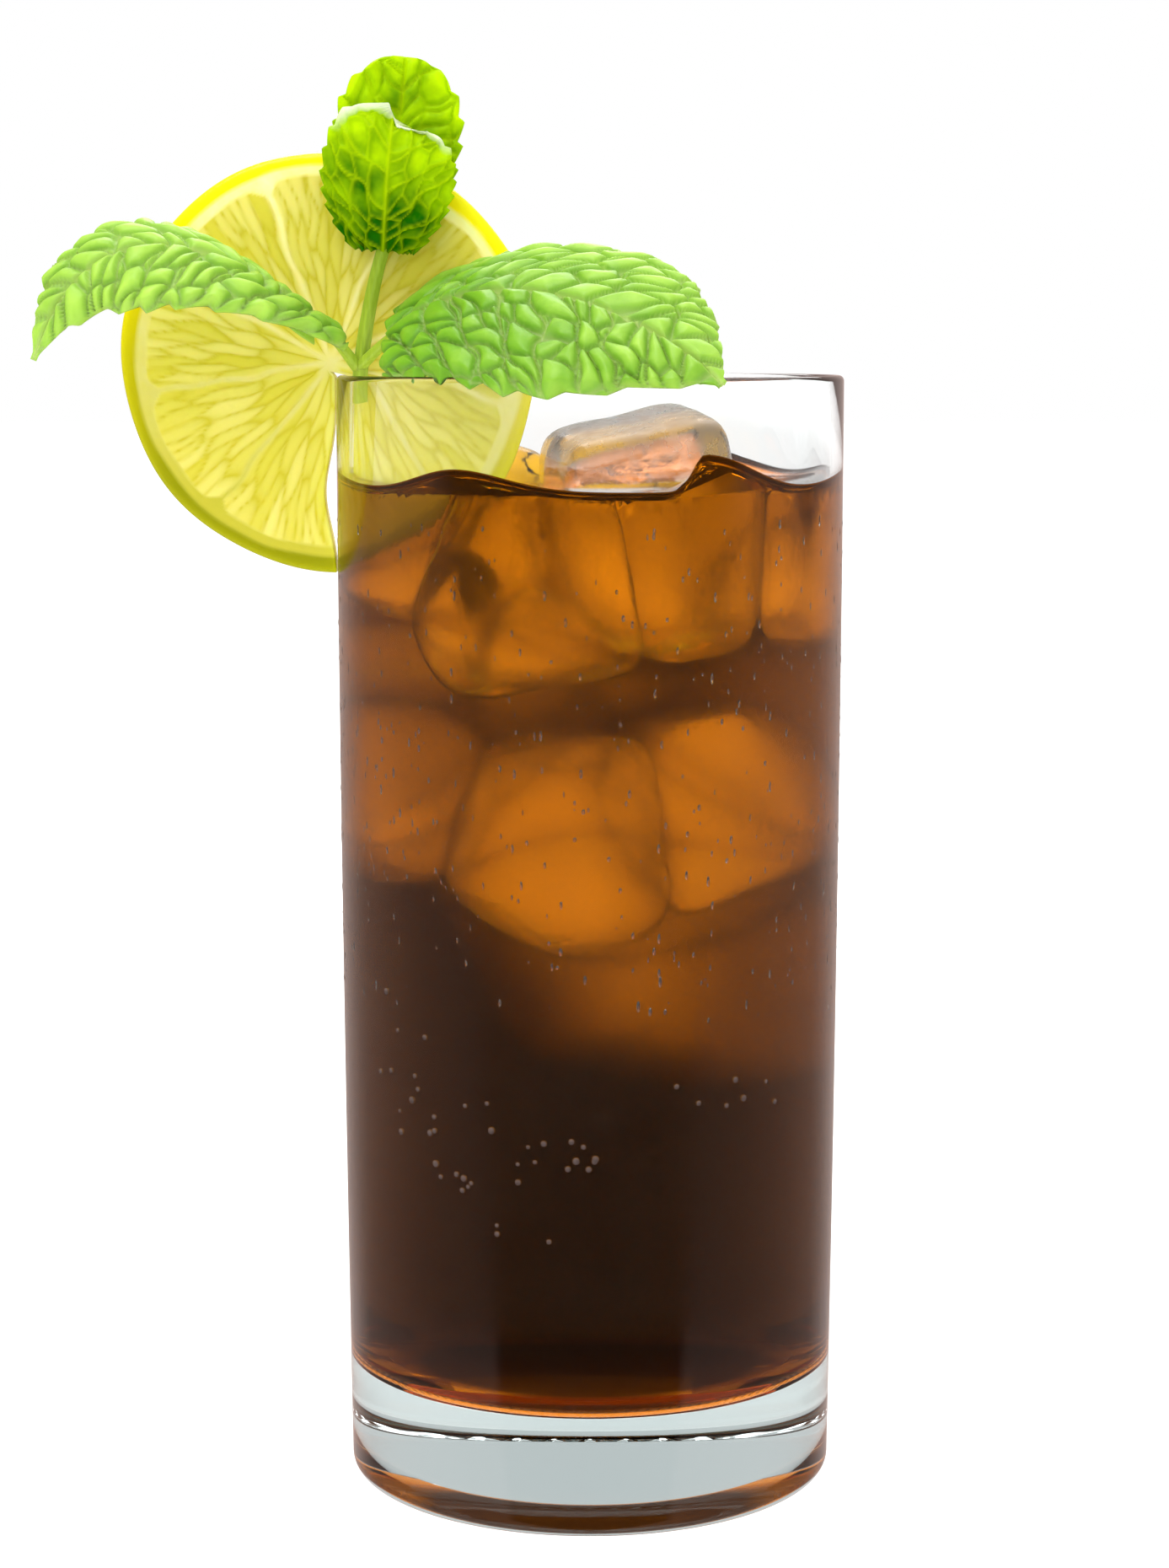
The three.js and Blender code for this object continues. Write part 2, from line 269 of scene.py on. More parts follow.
# Ice
# Cubes of clear ice from a tray, half melted, so their faces are dished and their edges round.
# They crowd the upper half of the glass, and two of them stand out of the drink.

STANDING_ROUNDNESS = 7
SUNK_ROUNDNESS = 11
ICE_GRID = 22
STANDING_WAVE = 0.5
SUNK_WAVE = 1.1
ICE_WAVE_SIZE = 9
ICE_SWELL = 0.4
ICE_BITE = 0.1
# Size, centre and turn of each cube, as in the CAD.
STANDING_CUBES = {
    "ice_cube_right": ((23, 20, 26), (7, 9.6, 125.4), (0.1, -0.12, 0.3)),
    "ice_cube_left": ((16, 14, 21), (-15.9, 15.5, 125.4), (-0.14, 0.1, 0.72)),
}
# Centre of each block, set where the drink looks pale. A block grows until it meets its
# neighbours, the wall or the lemon slice.
SUNK_BLOCKS = {
    "top_left": (-10, -18, 118),
    "before_lemon": (-24, -12, 125),
    "top_right": (9, -10, 122),
    "top_far_right": (26, -6, 121),
    "behind_top_left": (-7, 8, 123),
    "behind_far_right": (24, 10, 123),
    "under_lemon": (-18, 1, 114),
    "between": (-3, 2, 110),
    "left": (-22, -7, 95),
    "middle": (-5, -15, 91),
    "right": (13, -8, 94),
    "low": (2, 3, 73),
    "back_left": (-14, 13, 101),
    "back_right": (14, 14, 103),
    "back_middle": (-1, 17, 87),
    "back_top_left": (-3, 24.5, 121),
    "back_top_right": (18, 22, 120),
}
# Places that stay free of ice, where the drink looks dark. A block ends half way to each of them.
DRINK_POCKETS = {
    "left_shoulder": (-30, -13, 109),
    "right_shoulder": (31, -10, 103),
    "before_left": (-23, -14, 96),
    "below_left": (-21, -12, 67),
    "below_right": (26, -12, 67),
    "before_low": (3, -36, 63),
    "below_low": (3, -10, 43),
    "behind_low": (-20, 14, 62),
}
BLOCK_GAP = 0.2
SHELF_GAP = 7.5
SHELF_STEP = 20
ICE_RADIUS = 26.8
FLOATING_RADIUS = 30.9
FLOATING_HEIGHT = 108
ICE_DRAFT = 0.2
CUBE_CORNER = 1.2
CRYSTAL_SIZE = 2
FROST_START = 1.0
FROST_RISE = 5.0
LEMON_ROOM = 3.0
LEMON_BESIDE = 9
LEMON_ACROSS_X = -5
LEMON_ACROSS_Z = 105
LEMON_LOW, LEMON_HIGH = [np.array(corner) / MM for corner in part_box("lemon_slice")]
LEMON_MIDDLE = (LEMON_LOW + LEMON_HIGH) / 2
LIFT_POWER = 5
# Where the skin is drawn up: azimuth in degrees, height, and width in degrees before and after it.
LIFTS = (
    (-90, 1.8, 25, 22),
    (-31, 2.6, 15, 17),
    (26, 4.4, 4, 17),
    (90, 2.0, 24, 25),
    (148, 2.4, 20, 16),
    (212, 2.8, 18, 20),
)


def skin_height(x, y):
    """Height of the drink's surface, drawn up at the wall where ice lies close behind it."""
    azimuth = np.degrees(np.arctan2(x, -y))
    total = 0
    for at, height, before, after in LIFTS:
        off = (azimuth - at + 180) % 360 - 180
        total = total + height * np.exp(-((off / np.where(off < 0, before, after)) ** 2))
    return LEVEL + total * (np.hypot(x, y) / inner_radius(LEVEL)) ** LIFT_POWER


def cube_directions():
    """Directions to a grid of points on a cube's faces, with the faces between them."""
    steps = np.linspace(-1, 1, ICE_GRID + 1)
    across, up = np.meshgrid(steps, steps, indexing="ij")
    points = []
    faces = []
    index = {}
    for axis in range(3):
        for side in (-1, 1):
            sheet = np.zeros((ICE_GRID + 1, ICE_GRID + 1, 3))
            sheet[..., axis] = side
            sheet[..., (axis + 1) % 3] = across * side
            sheet[..., (axis + 2) % 3] = up
            numbers = []
            for corner in sheet.reshape(-1, 3):
                key = tuple(np.round(corner, 5))
                if key not in index:
                    index[key] = len(points)
                    points.append(corner)
                numbers.append(index[key])
            numbers = np.array(numbers).reshape(ICE_GRID + 1, -1)
            quads = (numbers[:-1, :-1], numbers[1:, :-1], numbers[1:, 1:], numbers[:-1, 1:])
            faces += np.stack(quads, -1).reshape(-1, 4).tolist()
    return np.array(points), faces


CUBE_POINTS, CUBE_FACES = cube_directions()


def melted(points, centre, depth):
    """Dishes and swells the faces of an ice cube as melting does."""
    outward = (points - centre) / np.linalg.norm(points - centre, axis=1, keepdims=True)
    wave = np.array([noise.noise(Vector(p) / ICE_WAVE_SIZE) for p in points])
    return points + outward * np.minimum(wave * depth, ICE_SWELL * BLOCK_GAP)[:, None]


def turned(turn):
    """The matrix of a turn about X, then Y, then Z of the cube's own axes."""
    return np.array(Euler(turn, "ZYX").to_matrix())


def standing_cube(size, centre, turn, margin):
    """One of the cubes that stand out of the drink, grown by the margin."""
    power = STANDING_ROUNDNESS
    shape = CUBE_POINTS / (np.abs(CUBE_POINTS) ** power).sum(1, keepdims=True) ** (1 / power)
    shape = shape * (np.array(size) / 2 + margin)
    return melted(shape @ turned(turn).T + np.array(centre), centre, STANDING_WAVE), CUBE_FACES


def block_sides(name):
    """Where a sunk block ends: each side's direction, and its distance from the block's centre."""
    centre = np.array(SUNK_BLOCKS[name], float)
    sides = []
    for other, place in (SUNK_BLOCKS | DRINK_POCKETS).items():
        if other == name:
            continue
        away = np.array(place) - centre
        distance = np.linalg.norm(away)
        in_front = other in SUNK_BLOCKS and centre[1] < 0 and place[1] < 0
        gap = SHELF_GAP if in_front and abs(away[2]) > SHELF_STEP else BLOCK_GAP
        sides.append((away / distance, (distance - gap) / 2))
    for size, place, turn in STANDING_CUBES.values():
        away = np.array(place) - centre
        distance = np.linalg.norm(away)
        along = np.abs(turned(turn).T @ (away / distance)) * np.array(size) / 2
        reach = (along**CUBE_CORNER).sum() ** (1 / CUBE_CORNER)
        sides.append((away / distance, distance - reach - BLOCK_GAP))
    to_lemon = (LEMON_MIDDLE - centre) * (1, 0, 1)
    distance = np.linalg.norm(to_lemon)
    if abs(centre[1]) < LEMON_BESIDE:
        lemon_radius = (LEMON_HIGH - LEMON_LOW)[2] / 2
        sides.append((to_lemon / distance, distance - lemon_radius - LEMON_ROOM / 2))
    elif centre[0] < LEMON_ACROSS_X and centre[2] > LEMON_ACROSS_Z:
        sides.append((np.array([0, -np.sign(centre[1]), 0]), abs(centre[1]) - LEMON_ROOM))
    return centre, sides


def sunk_block(name, margin):
    """A block of ice under the surface, crowded by its neighbours, and grown by the margin."""
    centre, sides = block_sides(name)
    power = SUNK_ROUNDNESS
    ways = CUBE_POINTS / np.linalg.norm(CUBE_POINTS, axis=1, keepdims=True)
    tight = sum((np.clip(ways @ way, 0, None) / distance) ** power for way, distance in sides)
    flat = (ways[:, :2] ** 2).sum(1)
    along = ways[:, :2] @ centre[:2]
    widest = FLOATING_RADIUS if centre[2] > FLOATING_HEIGHT else ICE_RADIUS
    room = widest**2 - centre[:2] @ centre[:2]
    to_wall = room / np.maximum(along + np.sqrt(along**2 + flat * room), 1e-6)
    tight = tight + to_wall ** -float(power)
    points = melted(centre + ways * tight[:, None] ** (-1 / power), centre, SUNK_WAVE)
    points[:, 2] = np.minimum(points[:, 2], skin_height(points[:, 0], points[:, 1]) - ICE_DRAFT)
    outward = (points - centre) / np.linalg.norm(points - centre, axis=1, keepdims=True)
    return points + outward * margin, CUBE_FACES


def clear_ice():
    """Clear ice: it hardly bends light within the drink; where it stands out it is dull with frost."""
    made, tree = material("clear_ice")
    dry = add(tree, "Attribute", attribute_name="dry")
    place = add(tree, "TexCoord")
    crystals = add(
        tree,
        "TexNoise",
        {"Vector": place.outputs["Object"], "Scale": 1 / (CRYSTAL_SIZE * MM), "Detail": 5.0},
    )
    rime = add(
        tree,
        "MapRange",
        {"Value": crystals, "From Min": 0.3, "From Max": 0.7, "To Min": 0.15, "To Max": 0.6},
    )
    frost = add(tree, "Math", {0: rime, 1: dry.outputs["Fac"]}, operation="MULTIPLY")
    clear = add(tree, "MapRange", {"Value": dry.outputs["Fac"], "To Min": 1.0, "To Max": 0.9})
    gleam = add(tree, "MapRange", {"Value": dry.outputs["Fac"], "To Min": 0.1, "To Max": 1.0})
    rimed = add(
        tree,
        "Mix",
        {"Factor": dry.outputs["Fac"], "A": linear("#FDFEFE"), "B": linear("#E4DAC6")},
        data_type="RGBA",
    )
    melt = add(tree, "Bump", {"Strength": 0.2, "Distance": 0.3 * MM, "Height": crystals})
    surface = add(
        tree,
        "BsdfPrincipled",
        {
            "Base Color": rimed,
            "Roughness": frost,
            "IOR": 1.34,
            "Specular Tint": gleam,
            "Transmission Weight": clear,
            "Normal": melt,
        },
    )
    add(tree, "OutputMaterial", {"Surface": surface})
    return made


def joined(parts):
    """One mesh of several, as points and faces."""
    starts = np.cumsum([0] + [len(points) for points, _ in parts])
    faces = [[i + start for i in face] for (_, part), start in zip(parts, starts) for face in part]
    return np.vstack([points for points, _ in parts]), faces


ice = clear_ice()
for name, cube in STANDING_CUBES.items():
    points, faces = standing_cube(*cube, 0)
    dry = np.clip((points[:, 2] - LEVEL - FROST_START) / FROST_RISE, 0, 1)
    standing = piece(name + "_melting", points, faces, ice, {"dry": dry})
    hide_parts(name)
sunk_ice = piece("ice_cubes_sunk", *joined([sunk_block(name, 0) for name in SUNK_BLOCKS]), ice)
sunk_ice.visible_shadow = False
sunk_ice.visible_diffuse = False


# Drink
# Rum and cola: a clear dark brown liquid that fills the glass to a little below the rim. Its skin
# climbs the glass and is drawn up where ice lies close behind the wall.

CLIMB = 0.8
CLIMB_REACH = 0.7
OVERLAP = 0.15
COLLAR = 0.2
UNDER_SKIN = 8
SKIN_RINGS = 60
SKIN_CROWDING = 1.8
EDGE_START = 0.3
EDGE_FADE = 0.15
DRINK_SIDES = 256
TRANSMITTED_PER_CM = (0.46, 0.435, 0.41)
CARAMEL = "#FF8E00"
BOTTOM_SHADE = 0.9
BOTTOM_CLEAR = 21
BOTTOM_FADE = 3


def drink_points():
    """The drink turned about the axis, its skin drawn up at the wall, and what each point of it is."""
    bottom = BASE_THICKNESS - OVERLAP
    low = bottom + INNER_CORNER
    edge = inner_radius(LEVEL) + OVERLAP
    profile = [
        (0, bottom),
        *[(r, bottom) for r in np.linspace(3, inner_radius(low) - INNER_CORNER, 8)[:-1]],
        *arc(inner_radius(low) + OVERLAP - INNER_CORNER, low, INNER_CORNER, -90, 0, 12),
        *wall(lambda z: inner_radius(z) + OVERLAP, low, LEVEL - UNDER_SKIN, 30)[1:],
        (edge, LEVEL - COLLAR),
        *[(edge * share, LEVEL) for share in 1 - np.linspace(0, 0.98, SKIN_RINGS) ** SKIN_CROWDING],
        (0, LEVEL),
    ]
    points, faces = lathe(profile, DRINK_SIDES)
    skin = points[:, 2] > LEVEL - COLLAR / 2
    lifted = points[:, 2] > LEVEL - 2 * COLLAR
    climb = np.exp((np.hypot(points[:, 0], points[:, 1]) - edge) / CLIMB_REACH)
    raised = skin_height(points[:, 0], points[:, 1]) - LEVEL + CLIMB * climb
    points[lifted, 2] += raised[lifted]
    # Painted shade: the skin where it climbs the wall, and the middle of the bottom, are marked to be
    # coloured near black.
    inward = np.clip((BOTTOM_CLEAR - np.hypot(points[:, 0], points[:, 1])) / BOTTOM_FADE, 0, 1)
    at_bottom = inward * (points[:, 2] < bottom + OVERLAP)
    painted_shade = skin * np.clip((climb - EDGE_START) / EDGE_FADE, 0, 1) + BOTTOM_SHADE * at_bottom
    return points, faces, {"edge": painted_shade, "outer": np.ones(len(points))}


def rum_and_cola():
    """A clear liquid, amber where thin, near black where deep; painted shade darkens its climbing edge
    and bottom.
    """
    made, tree = material("rum_and_cola")
    edge = add(tree, "Attribute", attribute_name="edge")
    outer = add(tree, "Attribute", attribute_name="outer")
    caramel = add(
        tree,
        "Mix",
        {"Factor": outer.outputs["Fac"], "A": (1, 1, 1, 1), "B": linear(CARAMEL)},
        data_type="RGBA",
    )
    # Painted shade: where the edge value is set, the drink is coloured near black and lets little light
    # by.
    tint = add(
        tree,
        "Mix",
        {"Factor": edge.outputs["Fac"], "A": caramel, "B": linear("#2A1614")},
        data_type="RGBA",
    )
    clear = add(tree, "MapRange", {"Value": edge.outputs["Fac"], "To Min": 1.0, "To Max": 0.15})
    surface = add(
        tree,
        "BsdfPrincipled",
        {
            "Base Color": tint,
            "Roughness": 0.0,
            "IOR": 1.34,
            "Specular Tint": (0.1, 0.1, 0.1, 1),
            "Transmission Weight": clear,
        },
    )
    add(tree, "OutputMaterial", {"Surface": surface, "Volume": absorbing(tree, TRANSMITTED_PER_CM)})
    return made


def flipped(points, faces):
    """The same mesh turned inside out."""
    return points, [face[::-1] for face in faces]


def cut(target, tool_points, tool_faces):
    """Takes a shape out of the target's mesh."""
    tool = piece("cutter", tool_points, tool_faces, target.data.materials[0])
    modifier = target.modifiers.new("cut", "BOOLEAN")
    modifier.object = tool
    modifier.operation = "DIFFERENCE"
    modifier.solver = "EXACT"
    graph = bpy.context.evaluated_depsgraph_get()
    mesh = bpy.data.meshes.new_from_object(target.evaluated_get(graph))
    target.modifiers.clear()
    target.data = mesh
    bpy.data.objects.remove(tool)


def at_cube(points, size, centre, turn):
    """Which points lie on or in a standing cube."""
    place = np.abs((points - np.array(centre)) @ turned(turn)) / (np.array(size) / 2)
    return (place**STANDING_ROUNDNESS).sum(1) ** (1 / STANDING_ROUNDNESS) < 1 + STANDING_WAVE / 6


cola = rum_and_cola()
points, faces, values = drink_points()
drink = piece("rum_and_cola", points, faces, cola, values)
for cube in STANDING_CUBES.values():
    cut(drink, *standing_cube(*cube, -ICE_BITE))
corners = np.array([corner.co for corner in drink.data.vertices]) / MM
iced = np.any([at_cube(corners, *cube) for cube in STANDING_CUBES.values()], axis=0)
drink.data.attributes["outer"].data.foreach_set("value", np.float32(~iced))
edges = np.zeros(len(corners), np.float32)
drink.data.attributes["edge"].data.foreach_get("value", edges)
drink.data.attributes["edge"].data.foreach_set("value", edges * ~iced)
hollows = [flipped(*sunk_block(name, -ICE_BITE)) for name in SUNK_BLOCKS]
hollow = piece("hollow", *joined(hollows), cola)
with bpy.context.temp_override(active_object=drink, selected_editable_objects=[drink, hollow]):
    bpy.ops.object.join()
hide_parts("drink")
drink.visible_shadow = False
drink.visible_diffuse = False


# Bubbles
# Gas that clings to the inside of the glass: a few loose clusters low on the front, and single ones
# all round.

# Azimuth in degrees, height, number of bubbles and spread of each cluster.
BUBBLE_CLUSTERS = (
    (-22, 50, 18, 6),
    (-50, 52, 9, 5),
    (-6, 51, 7, 3),
    (36, 55, 7, 6),
    (-54, 63, 4, 3),
    (150, 48, 16, 9),
    (215, 56, 12, 8),
    (95, 60, 8, 8),
)
BUBBLE_RADIUS = (0.28, 0.52)
BUBBLE_SIDES = 14
BUBBLE_HOLD = 0.5


def bubble_points(centre, radius):
    """A round bubble."""
    latitudes = np.radians(np.linspace(-90, 90, BUBBLE_SIDES // 2 + 1))
    profile = [(radius * math.cos(a), radius * math.sin(a)) for a in latitudes]
    points, faces = lathe(profile, BUBBLE_SIDES)
    return points + centre, faces


def gas_bubble():
    """Gas behind a curved skin of drink: the pale, slightly brown light it throws back is a painted
    reflection.
    """
    made, tree = material("gas_bubble")
    place = add(tree, "TexCoord")
    shimmer = add(tree, "TexNoise", {"Vector": place.outputs["Object"], "Scale": 1 / (0.4 * MM)})
    colour = add(
        tree,
        "Mix",
        {"Factor": shimmer, "A": linear("#6A544E"), "B": linear("#A88E86")},
        data_type="RGBA",
    )
    surface = add(
        tree,
        "BsdfPrincipled",
        {"Base Color": colour, "Roughness": 0.15, "IOR": 1.34, "Transmission Weight": 0.35},
    )
    add(tree, "OutputMaterial", {"Surface": surface})
    return made


def bubble_cluster(rng, azimuth, height, count, spread):
    """Bubbles of one loose cluster, each set against the wall of the glass."""
    made = []
    for _ in range(count):
        radius = rng.uniform(*BUBBLE_RADIUS)
        z = height + spread * rng.normal()
        out = inner_radius(z) + OVERLAP - BUBBLE_HOLD * radius
        turn = math.radians(azimuth) + spread * rng.normal() / out
        made.append(bubble_points((out * math.sin(turn), -out * math.cos(turn), z), radius))
    return made


bubble_rng = np.random.default_rng(4)
clusters = [bubble_cluster(bubble_rng, *cluster) for cluster in BUBBLE_CLUSTERS]
bubbles = piece("gas_bubbles", *joined(sum(clusters, [])), gas_bubble())


# Dew
# Water from the air on the cold outside of the glass, in beads so fine that they only just show,
# each drawn down a little by its weight.

DEW_BEADS = 1000
DEW_BAND = (66, 128)
DEW_HALF_WIDTH = (0.11, 0.25)
DEW_STRETCH = (1.2, 3.2)
DEW_HEIGHT = 0.12
DEW_SINK = 0.06
DEW_SIDES = 8
DEW_RINGS = (1.0, 0.8, 0.45)


def dew_bead(turn, z, half_width, half_height):
    """A low dome of water on the outer wall, longer than it is wide."""
    around = np.arange(DEW_SIDES) * 2 * math.pi / DEW_SIDES
    share = np.array(DEW_RINGS)[:, None]
    across = np.append((share * half_width * np.cos(around)).ravel(), 0)
    up = np.append((share * half_height * np.sin(around)).ravel(), 0)
    dome = DEW_HEIGHT * np.sqrt(1 - np.array(DEW_RINGS) ** 2)
    rise = np.append(np.repeat(dome, DEW_SIDES), DEW_HEIGHT)
    out = outer_radius(z + up) - DEW_SINK + rise
    angle = turn + across / RIM_RADIUS
    points = np.stack([out * np.sin(angle), -out * np.cos(angle), z + up], -1)
    faces = ring_faces(len(DEW_RINGS), DEW_SIDES)
    top = len(points) - 1
    inner = top - DEW_SIDES
    faces += [[inner + i, inner + (i + 1) % DEW_SIDES, top] for i in range(DEW_SIDES)]
    faces.append(list(range(DEW_SIDES))[::-1])
    return points, faces


def dew_water():
    """Clean water: each bead is a tiny lens that turns what lies behind it."""
    made, tree = material("dew_water")
    place = add(tree, "TexCoord")
    ripple = add(tree, "TexNoise", {"Vector": place.outputs["Object"], "Scale": 1 / (0.5 * MM)})
    smooth = add(tree, "MapRange", {"Value": ripple, "To Min": 0.02, "To Max": 0.12})
    surface = add(
        tree,
        "BsdfPrincipled",
        {
            "Base Color": linear("#FDFEFF"),
            "Roughness": smooth,
            "IOR": 1.33,
            "Specular Tint": (0.2, 0.2, 0.2, 1),
            "Transmission Weight": 1.0,
        },
    )
    add(tree, "OutputMaterial", {"Surface": surface})
    return made


dew_rng = np.random.default_rng(9)
beads = []
for _ in range(DEW_BEADS):
    half_width = dew_rng.uniform(*DEW_HALF_WIDTH)
    spot = dew_rng.uniform(0, 2 * math.pi), dew_rng.uniform(*DEW_BAND)
    beads.append(dew_bead(*spot, half_width, half_width * dew_rng.uniform(*DEW_STRETCH)))
dew = piece("dew_beads", *joined(beads), dew_water())
dew.visible_shadow = False
dew.visible_diffuse = False


# Lemon slice
# One wheel cut across a ripe lemon with a knife, slit from its hub and pushed down over the rim.
# Nine segments of juice vesicles sit in thin pale skins, inside white pith and a waxy yellow rind.

LEMON_HUB = (-33.6, 0, 147.7)
LEMON_RADIUS = 27.0
LEMON_THICKNESS = 5.2
LEMON_EDGE = 0.9
LEMON_DISH = 0.35
LEMON_SIDES = 420
LEMON_RINGS = 84
RIND_INSIDE = 24.9
PULP_OUTSIDE = 24.0
CORE_RADIUS = 0.7
# Directions of the walls between segments, in degrees.
SEGMENT_WALLS = (-8, 39, 80, 118, 160, 203, 246, 287, 322)
WALL_THICKNESS = 0.34
VESICLES = 420
VESICLE_TRIES = 9000
VESICLE_LENGTH = 7.5
VESICLE_WIDTH = 1.35
VESICLE_CROWDING = 0.8
VESICLE_BULGE = 0.16
WOBBLE_SIZE = 5
WOBBLE_TURN = 0.05
WOBBLE_OUT = 0.6
SEGMENT_CORNER = 1.3
PULP_FADE = 0.35
CORE_FADE = 1.2
SEAM_FADE = 0.2
BULGE_FADE = 0.16
RIND_FADE = 0.5
# Height, number and phase of the waves round the rind.
OUTLINE_WAVES = ((0.22, 3, 0.7), (0.14, 7, 0))
SLIT_TOP = 1.3
SLIT_EASE = 0.5
SLIT_LEFT = 0.5
SLIT_LEFT_SPREAD = 6
SLIT_GAPE = 1.5
GAPE_DEPTH = 17
GAPE_LENGTH = 6
SLIT_RIGHT = 2.6
SLIT_RIGHT_SPREAD = 9
# Painted light and shade on rind and pith: its share at the hub, and how it grows to the right and
# upwards.
PAINTED_LIGHT_MIDDLE = 0.6
PAINTED_LIGHT_ACROSS = 0.25
PAINTED_LIGHT_UP = 0.7


def scattered(rng, count, tries, spot, apart):
    """Places drawn at random, each kept only if it is far enough from those before it."""
    kept = []
    for _ in range(tries):
        place = spot(rng)
        if len(kept) == count:
            break
        if all(apart(place, other) >= 1 for other in kept):
            kept.append(place)
    return np.array(kept)


def vesicle_gap(place, other):
    """How far apart two vesicles are, as a share of what they need."""
    along = (place[0] - other[0]) / VESICLE_LENGTH
    across = (place[1] - other[1]) * (place[0] + other[0]) / 2 / VESICLE_WIDTH
    return math.hypot(along, across) / VESICLE_CROWDING


def vesicle_cells(radius, turn):
    """For each point: how far it lies inside its vesicle, and that vesicle's own shade."""
    rng = np.random.default_rng(11)
    seeds = scattered(
        rng,
        VESICLES,
        VESICLE_TRIES,
        lambda r: (PULP_OUTSIDE * math.sqrt(r.uniform(0.01, 1)), r.uniform(0, 2 * math.pi)),
        vesicle_gap,
    )
    shades = rng.uniform(0, 1, len(seeds))
    nearest = np.full(radius.shape, 9.0)
    second = np.full(radius.shape, 9.0)
    shade = np.zeros(radius.shape)
    for (seed_radius, seed_turn), seed_shade in zip(seeds, shades):
        along = (radius - seed_radius) / VESICLE_LENGTH
        swing = (turn - seed_turn + math.pi) % (2 * math.pi) - math.pi
        across = swing * (radius + seed_radius) / 2 / VESICLE_WIDTH
        gap = np.hypot(along, across)
        closer = gap < nearest
        second = np.where(closer, nearest, np.minimum(second, gap))
        shade = np.where(closer, seed_shade, shade)
        nearest = np.minimum(nearest, gap)
    return second - nearest, shade


def lemon_face(radius, turn):
    """Height of the cut face above the flat, and what each point of it is."""
    spots = [Vector((r * math.sin(t), r * math.cos(t), 3)) for r, t in zip(radius, turn)]
    wobble = np.array([noise.noise(spot / WOBBLE_SIZE) for spot in spots])
    drift = turn + wobble * WOBBLE_TURN
    inside, shade = vesicle_cells(radius + WOBBLE_OUT * wobble, drift)
    walls = np.radians(SEGMENT_WALLS)
    swing = (drift[:, None] - walls + math.pi) % (2 * math.pi) - math.pi
    wall_gap = np.abs(swing).min(1) * radius
    rounded = SEGMENT_CORNER * np.exp(-((wall_gap / SEGMENT_CORNER) ** 2))
    pulp_edge = PULP_OUTSIDE + 0.5 * wobble - rounded
    pulp = np.clip((pulp_edge - radius) / PULP_FADE, 0, 1)
    pulp = pulp * np.clip((radius - CORE_RADIUS) / CORE_FADE, 0, 1)
    skin = np.exp(-((wall_gap / WALL_THICKNESS) ** 2))
    juice = pulp * (1 - skin)
    seam = np.exp(-inside / SEAM_FADE)
    bulge = 1 - np.exp(-inside / BULGE_FADE)
    height = juice * VESICLE_BULGE * (bulge - 0.75)
    rind = np.clip((radius - RIND_INSIDE - 0.3 * wobble) / RIND_FADE, 0, 1)
    return height, {"juice": juice, "seam": seam * juice, "shade": shade * juice, "rind": rind}


def lemon_points():
    """The wheel, both faces and its rim, opened at the slit, and what each point of it is."""
    turn = np.linspace(0, 2 * math.pi, LEMON_SIDES + 1)
    half = LEMON_THICKNESS / 2
    outline = LEMON_RADIUS + sum(high * np.cos(count * turn + at) for high, count, at in OUTLINE_WAVES)
    shares = np.linspace(0, 1, LEMON_RINGS + 1)[1:]
    bends = np.radians(np.linspace(0, 90, 6))[1:]
    radius = shares[:, None] * (outline - LEMON_EDGE)
    height, kinds = lemon_face(radius.ravel(), np.tile(turn, LEMON_RINGS))
    depth = half - LEMON_DISH * (1 - shares[:, None] ** 2) + height.reshape(radius.shape)
    bend_radius = outline - LEMON_EDGE * (1 - np.sin(bends))[:, None]
    bend_depth = half - LEMON_EDGE * (1 - np.cos(bends))[:, None] + 0 * turn
    side_radius = np.vstack([radius, bend_radius])
    side_depth = np.vstack([depth, bend_depth])
    values = {}
    for label, numbers in kinds.items():
        round_edge = np.full(bend_radius.shape, float(label == "rind"))
        one_side = np.vstack([numbers.reshape(radius.shape), round_edge])
        values[label] = np.append(np.vstack([one_side, one_side[::-1]]).ravel(), [0, 0])
    radius = np.vstack([side_radius, side_radius[::-1]])
    depth = np.vstack([-side_depth, side_depth[::-1]])
    across = -radius * np.sin(turn)
    up = -radius * np.cos(turn)
    opened = np.clip((-up - SLIT_TOP) / SLIT_EASE, 0, 1)
    left = turn < math.pi
    left_shift = SLIT_LEFT - SLIT_GAPE * np.exp(-(((-up - GAPE_DEPTH) / GAPE_LENGTH) ** 2))
    moved_left = across + opened * left_shift * np.exp(across / SLIT_LEFT_SPREAD)
    moved_right = across + opened * SLIT_RIGHT * np.exp(-across / SLIT_RIGHT_SPREAD)
    across = np.where(left, moved_left, moved_right)
    points = np.stack([across, depth, up], -1).reshape(-1, 3)
    count = len(radius)
    sides = LEMON_SIDES + 1
    row, side = np.meshgrid(np.arange(count - 1), np.arange(LEMON_SIDES), indexing="ij")
    start = row * sides + side
    faces = np.stack([start, start + 1, start + sides + 1, start + sides], -1).reshape(-1, 4).tolist()
    front_hub = count * sides
    back_hub = front_hub + 1
    last = (count - 1) * sides
    for side in range(LEMON_SIDES):
        faces.append([front_hub, side + 1, side])
        faces.append([back_hub, last + side, last + side + 1])
    slit_rows = [row for row in range(count // 2 - 1) if opened[row + 1, 0] > 0]
    for edge, order in ((0, 1), (LEMON_SIDES, -1)):
        for row in slit_rows:
            far = count - 1 - row
            quad = [place * sides + edge for place in (row, row + 1, far - 1, far)]
            faces.append(quad[::order])
    hub_depth = half - LEMON_DISH
    points = np.vstack([points, [(0, -hub_depth, 0), (0, hub_depth, 0)]])
    # Painted light and shade: the rind and pith are lighter towards the upper right and darker, olive,
    # towards the lower left.
    towards_light = (PAINTED_LIGHT_ACROSS * points[:, 0] + PAINTED_LIGHT_UP * points[:, 2]) / LEMON_RADIUS
    values["painted_light"] = np.clip(PAINTED_LIGHT_MIDDLE + towards_light, 0, 1)
    points = points + LEMON_HUB
    return points, faces, values


